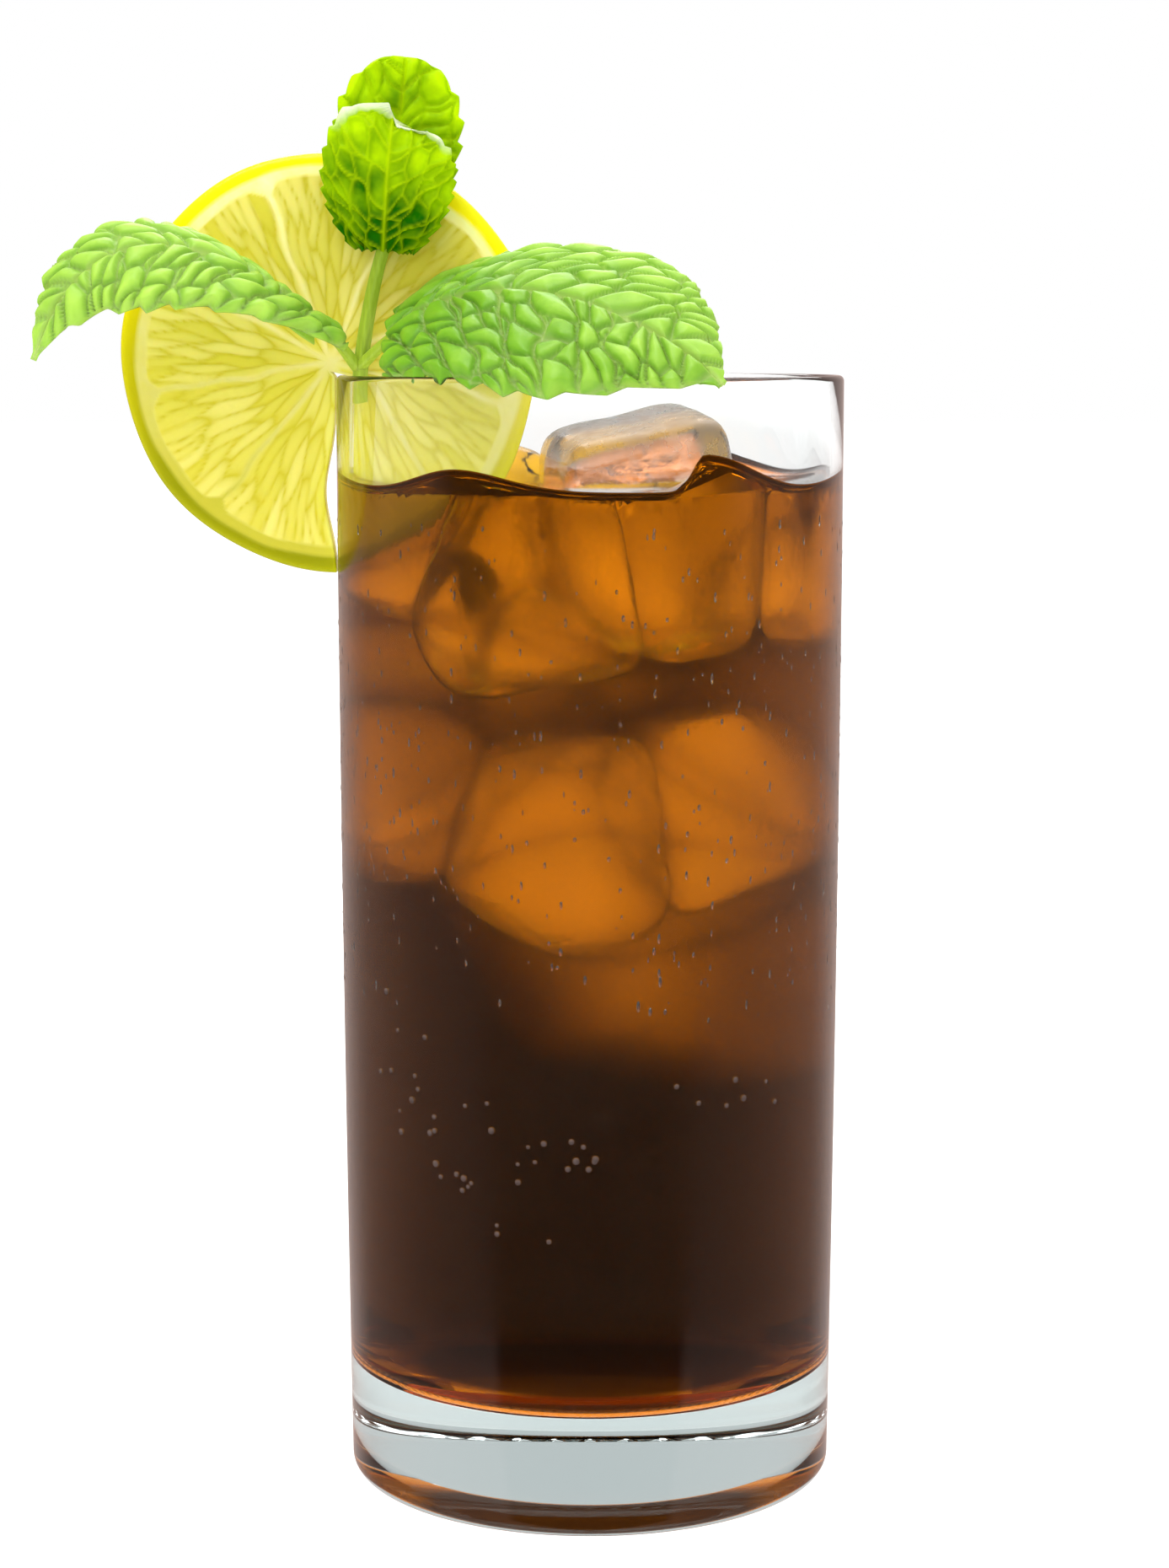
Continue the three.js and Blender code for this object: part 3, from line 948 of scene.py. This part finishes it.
def cut_lemon():
    """Fresh lemon, cut wet: juicy pulp that light passes into, matt white pith, and a waxy rind, with
    painted light and shade.
    """
    made, tree = material("cut_lemon")
    juice, seam, shade, rind, painted_light = [
        add(tree, "Attribute", attribute_name=label).outputs["Fac"]
        for label in ("juice", "seam", "shade", "rind", "painted_light")
    ]
    place = add(tree, "TexCoord")
    mottle = add(
        tree,
        "TexNoise",
        {"Vector": place.outputs["Object"], "Scale": 1 / (2.5 * MM), "Detail": 4.0},
    )
    pulp = add(
        tree,
        "Mix",
        {"Factor": shade, "A": linear("#ECE47C"), "B": linear("#E0D646")},
        data_type="RGBA",
    )
    vesicles = add(
        tree,
        "Mix",
        {"Factor": seam, "A": pulp, "B": linear("#D6CA30")},
        data_type="RGBA",
    )
    lit_pith = add(
        tree,
        "Mix",
        {"Factor": mottle, "A": linear("#F8EC80"), "B": linear("#FFFAD0")},
        data_type="RGBA",
    )
    # Painted shade: the pith turns a darker yellow where the painted light is low.
    pith = add(
        tree,
        "Mix",
        {"Factor": painted_light, "A": linear("#CFC740"), "B": lit_pith},
        data_type="RGBA",
    )
    inside = add(
        tree,
        "Mix",
        {"Factor": juice, "A": pith, "B": vesicles},
        data_type="RGBA",
    )
    # Painted light and shade: the rind runs from bright yellow where lit to olive where shaded.
    zest = add(
        tree,
        "Mix",
        {"Factor": painted_light, "A": linear("#9C9C04"), "B": linear("#FFEA00")},
        data_type="RGBA",
    )
    colour = add(
        tree,
        "Mix",
        {"Factor": rind, "A": inside, "B": zest},
        data_type="RGBA",
    )
    pores = add(tree, "TexVoronoi", {"Vector": place.outputs["Object"], "Scale": 1 / (1.1 * MM)})
    peel = add(tree, "Bump", {"Strength": 0.3, "Distance": 0.2 * MM, "Height": pores})
    surface = add(
        tree,
        "BsdfPrincipled",
        {
            "Base Color": colour,
            "Roughness": 0.25,
            "IOR": 1.38,
            "Subsurface Weight": 0.8,
            "Subsurface Radius": (1, 0.9, 0.4),
            "Subsurface Scale": 4 * MM,
            "Normal": peel,
        },
    )
    add(tree, "OutputMaterial", {"Surface": surface})
    return made


points, faces, values = lemon_points()
lemon = piece("lemon_wheel", points, faces, cut_lemon(), values)
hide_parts("lemon_slice")


# Mint
# The top of a sprig of garden mint: two broad leaves below, and two young ones still closing over
# the tip. The blades are puckered between their veins, with toothed edges.

LEAF_STEP = 0.24
LEAF_THICKNESS = 0.34
VEIN_PAIRS = {"grown": 9, "young": 5}
VEIN_SLANT = 0.66
VEIN_BEND = 0.016
VEIN_STRAY = 0.3
VEIN_RIDGE = 0.16
# Half width and strength of the midrib, its branches and the small veins.
VEINS = ((0.3, 1.0), (0.18, 0.85), (0.15, 0.65))
CELL_LENGTH = 0.62
CELL_SQUEEZE = 0.8
CELL_WHOLE = 0.55
GROWN_LENGTH = 46
PUCKER = 1.45
CREASE = 0.4
DOME_REACH = 0.36
TEETH = 8
TOOTH_DEPTH = 1.5
TOOTH_SLOPE = 0.85
TOOTH_STAGGER = 0.35
TOOTH_FADE = 8
BASE_ROUNDING = 1.12
TIP_WIDTH = 0.05
NARROW = 4
LOBE_END = 0.3
NOTCH_START = 0.5
LEAN_START = 0.4
FLAT_EDGE = 0.12
HEM_WIDTH = 0.7
HEM_ROLL = 0.8
HEM_START = 0.75
HEM_EASE = 0.15
TIP_GLOW = 0.9
EDGE_GLOW = 0.25
# Some leaves carry painted light over the whole blade, or painted shade across one half of it.
LEAVES = {
    "right": (
        "grown",
        {
            "midrib": ((-25.2, -9, 151), (-14, -18, 160.4), (4, -30, 155.8), (15.8, -37.5, 145.2)),
            "face": ((0.12, -0.62, 0.77), (0.12, -0.74, 0.66)),
            "half_width": 16.2,
            "widest": 0.55,
            "cup": -0.2,
            "lobe": 1.5,
            "bluntness": 0.95,
            "painted_side_shade": 0.4,
        },
    ),
    "left": (
        "grown",
        {
            "midrib": ((-33.6, -8.4, 151.8), (-42, -17, 160), (-61, -19.5, 171), (-69.3, -19, 148)),
            "face": ((0, -0.17, 0.98), (-0.1, -0.78, 0.62)),
            "half_width": 10,
            "widest": 0.56,
            "cup": -0.28,
            "lobe": 2,
            "bluntness": 1,
            "light": 0.55,
        },
    ),
    "front": (
        "young",
        {
            "midrib": ((-26.4, -5.9, 161.8), (-25.9, -12, 167), (-25.2, -13, 174), (-24.8, -10.6, 178)),
            "face": ((0, 1, 0.1), (0, 1, 0.1)),
            "half_width": 8.6,
            "widest": 0.5,
            "cup": 0.24,
            "lobe": 1,
            "bluntness": 0.25,
            "lean": 2.4,
            "notch": 2.2,
            "hem": 1,
        },
    ),
    "back": (
        "young",
        {
            "midrib": ((-26, -5.2, 162.4), (-25.6, -4.2, 170), (-24, -5.2, 179.4), (-23.6, -2.4, 186.4)),
            "face": ((0.1, -1, 0.2), (0.1, -1, 0.2)),
            "half_width": 8.4,
            "widest": 0.6,
            "cup": 0.16,
            "lobe": 1,
            "bluntness": 0.45,
        },
    ),
}


def bezier(corners, share):
    """Points and directions along a curve through four corners."""
    a, b, c, d = np.array(corners, float)
    t = share[:, None]
    points = a * (1 - t) ** 3 + 3 * b * t * (1 - t) ** 2 + 3 * c * t**2 * (1 - t) + d * t**3
    ahead = 3 * (b - a) * (1 - t) ** 2 + 6 * (c - b) * t * (1 - t) + 3 * (d - c) * t**2
    return points, ahead / np.linalg.norm(ahead, axis=1, keepdims=True)


def leaf_veins(along, across, length, pairs, seed):
    """How high the blade puckers, and how strongly a vein shows, at each point of a flat leaf."""
    rng = np.random.default_rng(seed)
    # Unseeded, Blender's vector noise would differ from run to run.
    noise.seed_set(seed)
    spacing = length / pairs
    spots = zip(along.ravel() / spacing, across.ravel() / spacing)
    stray = np.array([noise.noise_vector(Vector((a, c, seed))) for a, c in spots])
    stray = stray.reshape(*along.shape, 3)
    out = np.abs(across)
    out = out + VEIN_STRAY * spacing * stray[..., 1] * np.clip(out / spacing, 0, 1)
    strip = (along - VEIN_SLANT * out - VEIN_BEND * out**2) / spacing
    strip = strip + VEIN_STRAY * stray[..., 0] + 0.5 * (across < 0)
    cell = CELL_LENGTH * spacing
    seeds = []
    for row in range(-8, pairs + 2):
        for column in range(9):
            for side in (-1, 1):
                for part in (0.5,) if rng.uniform() < CELL_WHOLE else (0.26, 0.74):
                    step = row + part + rng.uniform(-0.14, 0.14)
                    seeds.append((step, (column + 0.5 + rng.uniform(-0.38, 0.38)) * cell, side))
    nearest = np.full(along.shape, 99.0)
    second = np.full(along.shape, 99.0)
    for seed_strip, seed_out, side in seeds:
        gap = np.hypot((strip - seed_strip) * spacing * CELL_SQUEEZE, out - seed_out)
        gap = np.where((across >= 0) == (side > 0), gap, 99)
        second = np.where(gap < nearest, nearest, np.minimum(second, gap))
        nearest = np.minimum(nearest, gap)
    small = (second - nearest) / 2
    branch = np.abs(strip - np.round(strip)) * spacing * CELL_SQUEEZE
    gaps = (np.abs(across), branch, small)
    gap = np.minimum.reduce(gaps)
    crease = np.sin(math.pi / 2 * np.clip(gap / CREASE, 0, 1))
    dome = np.sin(math.pi / 2 * np.clip(gap / (DOME_REACH * spacing), 0, 1))
    pucker = 0.5 * crease + 0.5 * dome
    shown = [strong * np.exp(-((near / wide) ** 2)) for near, (wide, strong) in zip(gaps, VEINS)]
    return pucker, np.maximum.reduce(shown)


def leaf_points(
    midrib,
    face,
    half_width,
    widest,
    cup,
    lobe,
    bluntness,
    pairs,
    seed,
    lean=0,
    notch=0,
    hem=0,
    light=0,
    painted_side_shade=0,
):
    """A leaf laid along its midrib, puckered and toothed, and what each point of it is."""
    rows = round(math.dist(midrib[0], midrib[-1]) / LEAF_STEP)
    half_columns = round(half_width / LEAF_STEP)
    share = np.linspace(0, 1, rows + 1)
    middle, ahead = bezier(midrib, share)
    steps = np.linalg.norm(np.diff(middle, axis=0), axis=1)
    along = np.append(0, np.cumsum(steps))
    length = along[-1]
    facing = np.array(face[0]) * (1 - share[:, None]) + np.array(face[1]) * share[:, None]
    facing -= ahead * (facing * ahead).sum(1, keepdims=True)
    facing /= np.linalg.norm(facing, axis=1, keepdims=True)
    side = np.cross(ahead, facing)
    rising = np.sqrt(np.clip(1 - ((widest - share) / (BASE_ROUNDING * widest)) ** 2, 0, 1))
    falling = np.cos(math.pi / 2 * np.clip((share - widest) / (1 - widest), 0, 1)) ** bluntness
    width = half_width * np.maximum(np.where(share < widest, rising, falling), TIP_WIDTH)
    place = np.linspace(-1, 1, 2 * half_columns + 1)
    tooth_length = length / TEETH
    out = np.abs(place)[None, :]
    teeth = []
    for sign in (-1, 1):
        phase = (along / tooth_length + (TOOTH_STAGGER if sign > 0 else 0)) % 1
        slope = 1 - phase / TOOTH_SLOPE
        cut_in = np.where(phase < TOOTH_SLOPE, slope, (phase - TOOTH_SLOPE) / (1 - TOOTH_SLOPE))
        teeth.append(-TOOTH_DEPTH * length / GROWN_LENGTH * cut_in * np.clip(width / NARROW, 0, 1))
    bite = np.where(place[None, :] < 0, teeth[0][:, None], teeth[1][:, None]) * out**TOOTH_FADE
    across = place * (width[:, None] + bite)
    columns = len(place)
    flat_along = np.repeat(along[:, None], columns, 1)
    rise, vein = leaf_veins(flat_along, place * width[:, None], length, pairs, seed)
    normal = facing[:, None, :] - side[:, None, :] * (2 * cup * place)[None, :, None]
    normal /= np.linalg.norm(normal, axis=2, keepdims=True)
    tuck = lobe * np.clip(1 - share / LOBE_END, 0, 1) ** 2
    base = middle[:, None, :] + side[:, None, :] * across[..., None]
    base = base + facing[:, None, :] * (cup * width[:, None] * place**2)[..., None]
    tipward = np.clip((share - NOTCH_START) / (1 - NOTCH_START), 0, 1)
    dip = notch * tipward[:, None] * (across / half_width) ** 2
    base = base + ahead[:, None, :] * (dip - tuck[:, None] * place**2)[..., None]
    rolled = np.clip((width[:, None] - HEM_WIDTH - np.abs(across)) / HEM_WIDTH, 0, 1)
    rolled = hem * np.clip((share - HEM_START) / HEM_EASE, 0, 1)[:, None] * (1 - rolled)
    base = base - facing[:, None, :] * (HEM_ROLL * rolled**2)[..., None]
    tilt = lean * np.clip(share - LEAN_START, 0, 1)[:, None] * place
    base = base + np.array((0, 0, 1)) * tilt[..., None]
    fade = np.clip((1 - out) / FLAT_EDGE, 0, 1) * np.clip(width[:, None] / NARROW, 0, 1)
    bulge = PUCKER * length / GROWN_LENGTH * rise * fade
    upper = base + normal * bulge[..., None]
    lower = base + normal * (bulge - LEAF_THICKNESS - VEIN_RIDGE * vein * fade)[..., None]
    count = (rows + 1) * columns
    row, column = np.meshgrid(np.arange(rows), np.arange(columns - 1), indexing="ij")
    start = row * columns + column
    sheet = np.stack([start, start + 1, start + columns + 1, start + columns], -1).reshape(-1, 4)
    rim = list(range(columns))
    rim += [i * columns + columns - 1 for i in range(1, rows + 1)]
    rim += [rows * columns + i for i in range(columns - 2, -1, -1)]
    rim += [i * columns for i in range(rows - 1, 0, -1)]
    faces = sheet.tolist() + (sheet + count)[:, ::-1].tolist()
    for a, b in zip(rim, rim[1:] + rim[:1]):
        faces.append([a + count, b + count, b, a])
    points = np.vstack([upper.reshape(-1, 3), lower.reshape(-1, 3)])
    # Painted light and shade: lighter towards the tip and the edges and over a whole lit leaf, darker
    # across one half of a shaded leaf.
    glow = light + TIP_GLOW * flat_along / length + EDGE_GLOW * out**2 - painted_side_shade * place
    glow = np.clip(glow, 0, 1)
    values = {
        "vein": np.tile(vein.ravel(), 2),
        "rise": np.tile(rise.ravel(), 2),
        "underside": np.repeat([0, 1], count),
        "hem": np.tile(rolled.ravel(), 2),
        "glow": np.tile(glow.ravel(), 2),
    }
    return points, faces, values


def mint_leaf(name, hollows, domes, veins, shine):
    """A thin living blade: green domes with a dull wax, pale veins, and light that comes through; hollows
    carry painted shade, and tips and edges painted light.
    """
    made, tree = material(name)
    vein, rise, glow, underside, hem = [
        add(tree, "Attribute", attribute_name=label).outputs["Fac"]
        for label in ("vein", "rise", "glow", "underside", "hem")
    ]
    place = add(tree, "TexCoord")
    mottle = add(
        tree,
        "TexNoise",
        {"Vector": place.outputs["Object"], "Scale": 1 / (4 * MM), "Detail": 3.0},
    )
    # How pale each point is: painted light and shade from the glow, with a random mottle.
    glow_and_mottle = add(tree, "Math", {0: glow, 1: 0.7, 2: mottle}, operation="MULTIPLY_ADD")
    glow_and_mottle_share = add(tree, "MapRange", {"Value": glow_and_mottle, "From Min": 0.62, "From Max": 1.2})
    low, high = [
        add(tree, "Mix", {"Factor": glow_and_mottle_share, "A": linear(a), "B": linear(b)}, data_type="RGBA")
        for a, b in (hollows, domes)
    ]
    # Painted shade: the hollows between the veins are coloured darker than the domes.
    blade = add(tree, "Mix", {"Factor": rise, "A": low, "B": high}, data_type="RGBA")
    show = add(tree, "MapRange", {"Value": underside, "To Min": 0.55, "To Max": 0.6})
    vein_show = add(tree, "Math", {0: vein, 1: show}, operation="MULTIPLY")
    colour = add(
        tree,
        "Mix",
        {"Factor": vein_show, "A": blade, "B": linear(veins)},
        data_type="RGBA",
    )
    edged = add(
        tree,
        "Mix",
        {"Factor": hem, "A": colour, "B": linear("#E2EDC8")},
        data_type="RGBA",
    )
    grain = add(
        tree,
        "TexNoise",
        {"Vector": place.outputs["Object"], "Scale": 1 / (0.35 * MM), "Detail": 2.0},
    )
    skin = add(tree, "Bump", {"Strength": 0.35, "Distance": 0.06 * MM, "Height": grain})
    surface = add(
        tree,
        "BsdfPrincipled",
        {
            "Base Color": edged,
            "Roughness": 0.42,
            "IOR": shine,
            "Subsurface Weight": 0.2,
            "Subsurface Radius": (0.8, 1, 0.1),
            "Subsurface Scale": 0.8 * MM,
            "Normal": skin,
        },
    )
    add(tree, "OutputMaterial", {"Surface": surface})
    return made


BLADES = {
    "grown": mint_leaf("mint_leaf", ("#3A7C00", "#569808"), ("#7EB624", "#B2DC52"), "#D4E486", 1.42),
    "young": mint_leaf("young_mint_leaf", ("#0E5000", "#8CC000"), ("#1E7000", "#BCE000"), "#C4E000", 1.1),
}
for number, (name, (age, shape)) in enumerate(LEAVES.items()):
    points, faces, values = leaf_points(**shape, pairs=VEIN_PAIRS[age], seed=20 + number)
    blade = piece("mint_leaf_" + name, points, faces, BLADES[age], values)
    if name == "right":
        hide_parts("mint_sprig")


# Mint stem
# The square young stem that carries the leaves, cut off below and dropped inside the rim. Short
# leaf stalks leave it in a pair at one joint.

STEM_PATH = ((-29.8, -4, 141.6), (-29.9, -4.1, 147.2), (-28.4, -4.9, 155.7), (-26.4, -5.6, 162.2))
STEM_RADIUS = 0.95
STALK_RADIUS = 0.6
STEM_SIDES = 32
STEM_ROWS = 60
STEM_RIDGE = 0.09
STALKS = (
    ((-29.9, -4.3, 147.0), (-31.2, -5.6, 148.6), (-32.6, -7.4, 151.2), (-35.0, -9.6, 152.8)),
    ((-29.8, -4.3, 147.0), (-28.4, -5.6, 148.2), (-26.6, -7.6, 150.0), (-23.6, -10.0, 152.3)),
)


def stalk_points(corners, start_radius, end_radius):
    """A tapering stalk with the four blunt ridges of a mint stem."""
    share = np.linspace(0, 1, STEM_ROWS + 1)
    middle, ahead = bezier(corners, share)
    side = np.cross(ahead, (0, 1, 0.2))
    side /= np.linalg.norm(side, axis=1, keepdims=True)
    front = np.cross(ahead, side)
    turn = np.arange(STEM_SIDES) * 2 * math.pi / STEM_SIDES
    radius = start_radius + (end_radius - start_radius) * share
    radius = radius[:, None] * (1 + STEM_RIDGE * np.cos(4 * turn))
    ring = side[:, None, :] * np.cos(turn)[:, None] + front[:, None, :] * np.sin(turn)[:, None]
    points = middle[:, None, :] + ring * radius[..., None]
    faces = ring_faces(STEM_ROWS + 1, STEM_SIDES)
    faces.append(list(range(STEM_SIDES))[::-1])
    faces.append([STEM_ROWS * STEM_SIDES + i for i in range(STEM_SIDES)])
    return points.reshape(-1, 3), faces


def mint_stem():
    """A juicy green stem, slightly shiny, finely streaked paler along its length."""
    made, tree = material("mint_stem")
    place = add(tree, "TexCoord")
    grain = add(tree, "Mapping", {"Vector": place.outputs["Object"], "Scale": (1, 1, 0.15)})
    fibres = add(tree, "TexNoise", {"Vector": grain, "Scale": 1 / (0.4 * MM), "Detail": 3.0})
    colour = add(
        tree,
        "Mix",
        {"Factor": fibres, "A": linear("#7E9A18"), "B": linear("#B4CC40")},
        data_type="RGBA",
    )
    ribs = add(tree, "Bump", {"Strength": 0.3, "Distance": 0.1 * MM, "Height": fibres})
    surface = add(
        tree,
        "BsdfPrincipled",
        {
            "Base Color": colour,
            "Roughness": 0.4,
            "IOR": 1.42,
            "Subsurface Weight": 0.3,
            "Subsurface Radius": (0.8, 1, 0.2),
            "Subsurface Scale": 1 * MM,
            "Normal": ribs,
        },
    )
    add(tree, "OutputMaterial", {"Surface": surface})
    return made


stalks = [stalk_points(STEM_PATH, STEM_RADIUS, 0.8 * STEM_RADIUS)]
stalks += [stalk_points(path, STALK_RADIUS * 1.3, STALK_RADIUS * 0.8) for path in STALKS]
stem = piece("mint_stem", *joined(stalks), mint_stem())


# Studio
# A pale table and a white surround, lit by three soft lamps. What the glass mirrors is dimmer at the
# sides than overhead and behind, so that the glass shows its edges and the drink stays dark.

CAMERA_PLACE = (0, -440, 150)
CAMERA_TILT = 7.47
FOCAL_PIXELS = 3981
PHOTO_SIZE = (1387, 1860)
PHOTO_CENTRE = 700
TABLE_REACH = 6
AMBIENT = 0.86
AIM = Vector((0, 0, 0.1))
# Place, size, brightness of the cloth, and whether the glass mirrors it.
SOFTBOXES = {
    "key_behind": ((0.1, 0.75, 0.95), (0.9, 0.9), 3.0, True),
    "fill_above": ((-0.25, -0.35, 1.2), (0.9, 0.7), 3.6, True),
    "fill_front": ((-0.35, -1.0, 0.75), (0.8, 0.8), 1.2, False),
}

floor_mesh = bpy.data.meshes.new("table")
table_corners = [(x * TABLE_REACH, y * TABLE_REACH, 0) for x, y in ((-1, -1), (1, -1), (1, 1), (-1, 1))]
floor_mesh.from_pydata(table_corners, [], [(0, 1, 2, 3)])
paper, paper_tree = material("white_card")
paper_place = add(paper_tree, "TexCoord")
away = add(paper_tree, "VectorMath", {0: paper_place.outputs["Object"]}, operation="LENGTH")
lit = add(
    paper_tree,
    "MapRange",
    {"Value": away.outputs["Value"], "From Min": 0.03, "From Max": 0.4, "To Min": 0.1, "To Max": 0.46},
)
paper_surface = add(
    paper_tree,
    "BsdfPrincipled",
    {
        "Base Color": linear("#E8EAEA"),
        "Roughness": 0.6,
        "Emission Color": (1, 1, 1, 1),
        "Emission Strength": lit,
    },
)
add(paper_tree, "OutputMaterial", {"Surface": paper_surface})
floor_mesh.materials.append(paper)
floor = bpy.data.objects.new("table", floor_mesh)
bpy.context.scene.collection.objects.link(floor)
floor.visible_glossy = False

world = bpy.data.worlds.new("studio")
bpy.context.scene.world = world
world.use_nodes = True
sky = world.node_tree
sky.nodes.clear()
bounce = add(sky, "LightPath")
heading = add(sky, "TexCoord")
parts = add(sky, "SeparateXYZ", {"Vector": heading.outputs["Generated"]})

# What polished faces mirror: narrow side panels, a pale ceiling and a pale wall beyond the glass.
sideways = add(sky, "Math", {0: parts.outputs["X"]}, operation="ABSOLUTE")
lowered = add(sky, "Math", {0: parts.outputs["Z"], 1: -0.97, 2: sideways}, operation="MULTIPLY_ADD")
panels = add(
    sky,
    "MapRange",
    {"Value": lowered, "From Min": 0.94, "From Max": 1.0, "To Min": 0.03, "To Max": 0.44},
)
ceiling = add(
    sky,
    "MapRange",
    {"Value": parts.outputs["Z"], "From Min": 0.25, "From Max": 0.6, "To Max": 0.7},
)
beyond = add(
    sky,
    "MapRange",
    {"Value": parts.outputs["Y"], "From Min": 0.3, "From Max": 0.8, "To Max": 0.75},
)
around = add(sky, "Math", {0: panels, 1: ceiling}, operation="MAXIMUM")
mirror_view = add(sky, "Math", {0: around, 1: beyond}, operation="MAXIMUM")
onward = add(sky, "Math", {0: 1.0, 1: bounce.outputs["Is Transmission Ray"]}, operation="SUBTRACT")
mirrored = add(sky, "Math", {0: onward, 1: bounce.outputs["Is Glossy Ray"]}, operation="MULTIPLY")

# The surround is white where it is seen, straight or through the glass, and dimmer as a light.
unlit = add(sky, "Math", {0: bounce.outputs["Diffuse Depth"], 1: 0.5}, operation="LESS_THAN")
through = add(sky, "Math", {0: unlit, 1: bounce.outputs["Is Transmission Ray"]}, operation="MULTIPLY")
seen = add(sky, "Math", {0: through, 1: bounce.outputs["Is Camera Ray"]}, operation="MAXIMUM")
dome = add(sky, "MapRange", {"Value": seen, "To Min": AMBIENT, "To Max": 1.0})
brightness = add(sky, "Mix", {"Factor": mirrored, "A": dome, "B": mirror_view})
warmth = add(
    sky,
    "Mix",
    {"Factor": mirrored, "A": (1, 1, 1, 1), "B": linear("#F2D8D0")},
    data_type="RGBA",
)
background = add(sky, "Background", {"Color": warmth, "Strength": brightness})
add(sky, "OutputWorld", {"Surface": background})


def softbox(name, place, size, radiance, mirrored):
    """A cloth-fronted lamp aimed at the glass; its power follows from how bright its cloth is."""
    lamp = bpy.data.lights.new(name, "AREA")
    lamp.shape = "RECTANGLE"
    lamp.size, lamp.size_y = size
    lamp.energy = math.pi * size[0] * size[1] * radiance
    stand = bpy.data.objects.new(name, lamp)
    stand.location = place
    stand.rotation_euler = (AIM - Vector(place)).to_track_quat("-Z", "Y").to_euler()
    stand.visible_camera = False
    stand.visible_glossy = mirrored
    bpy.context.scene.collection.objects.link(stand)


for name, settings in SOFTBOXES.items():
    softbox(name, *settings)

lens = bpy.data.cameras.new("camera")
lens.lens = FOCAL_PIXELS / PHOTO_SIZE[1] * lens.sensor_width
lens.shift_x = (PHOTO_SIZE[0] / 2 - PHOTO_CENTRE) / PHOTO_SIZE[1]
camera = bpy.data.objects.new("camera", lens)
camera.location = Vector(CAMERA_PLACE) * MM
camera.rotation_euler = (math.radians(90 - CAMERA_TILT), 0, 0)
bpy.context.scene.collection.objects.link(camera)
bpy.context.scene.camera = camera

scene = bpy.context.scene
scene.view_settings.view_transform = "Standard"
scene.cycles.max_bounces = 24
scene.cycles.transmission_bounces = 24
scene.cycles.glossy_bounces = 8
scene.cycles.transparent_max_bounces = 24
scene.cycles.use_denoising = True
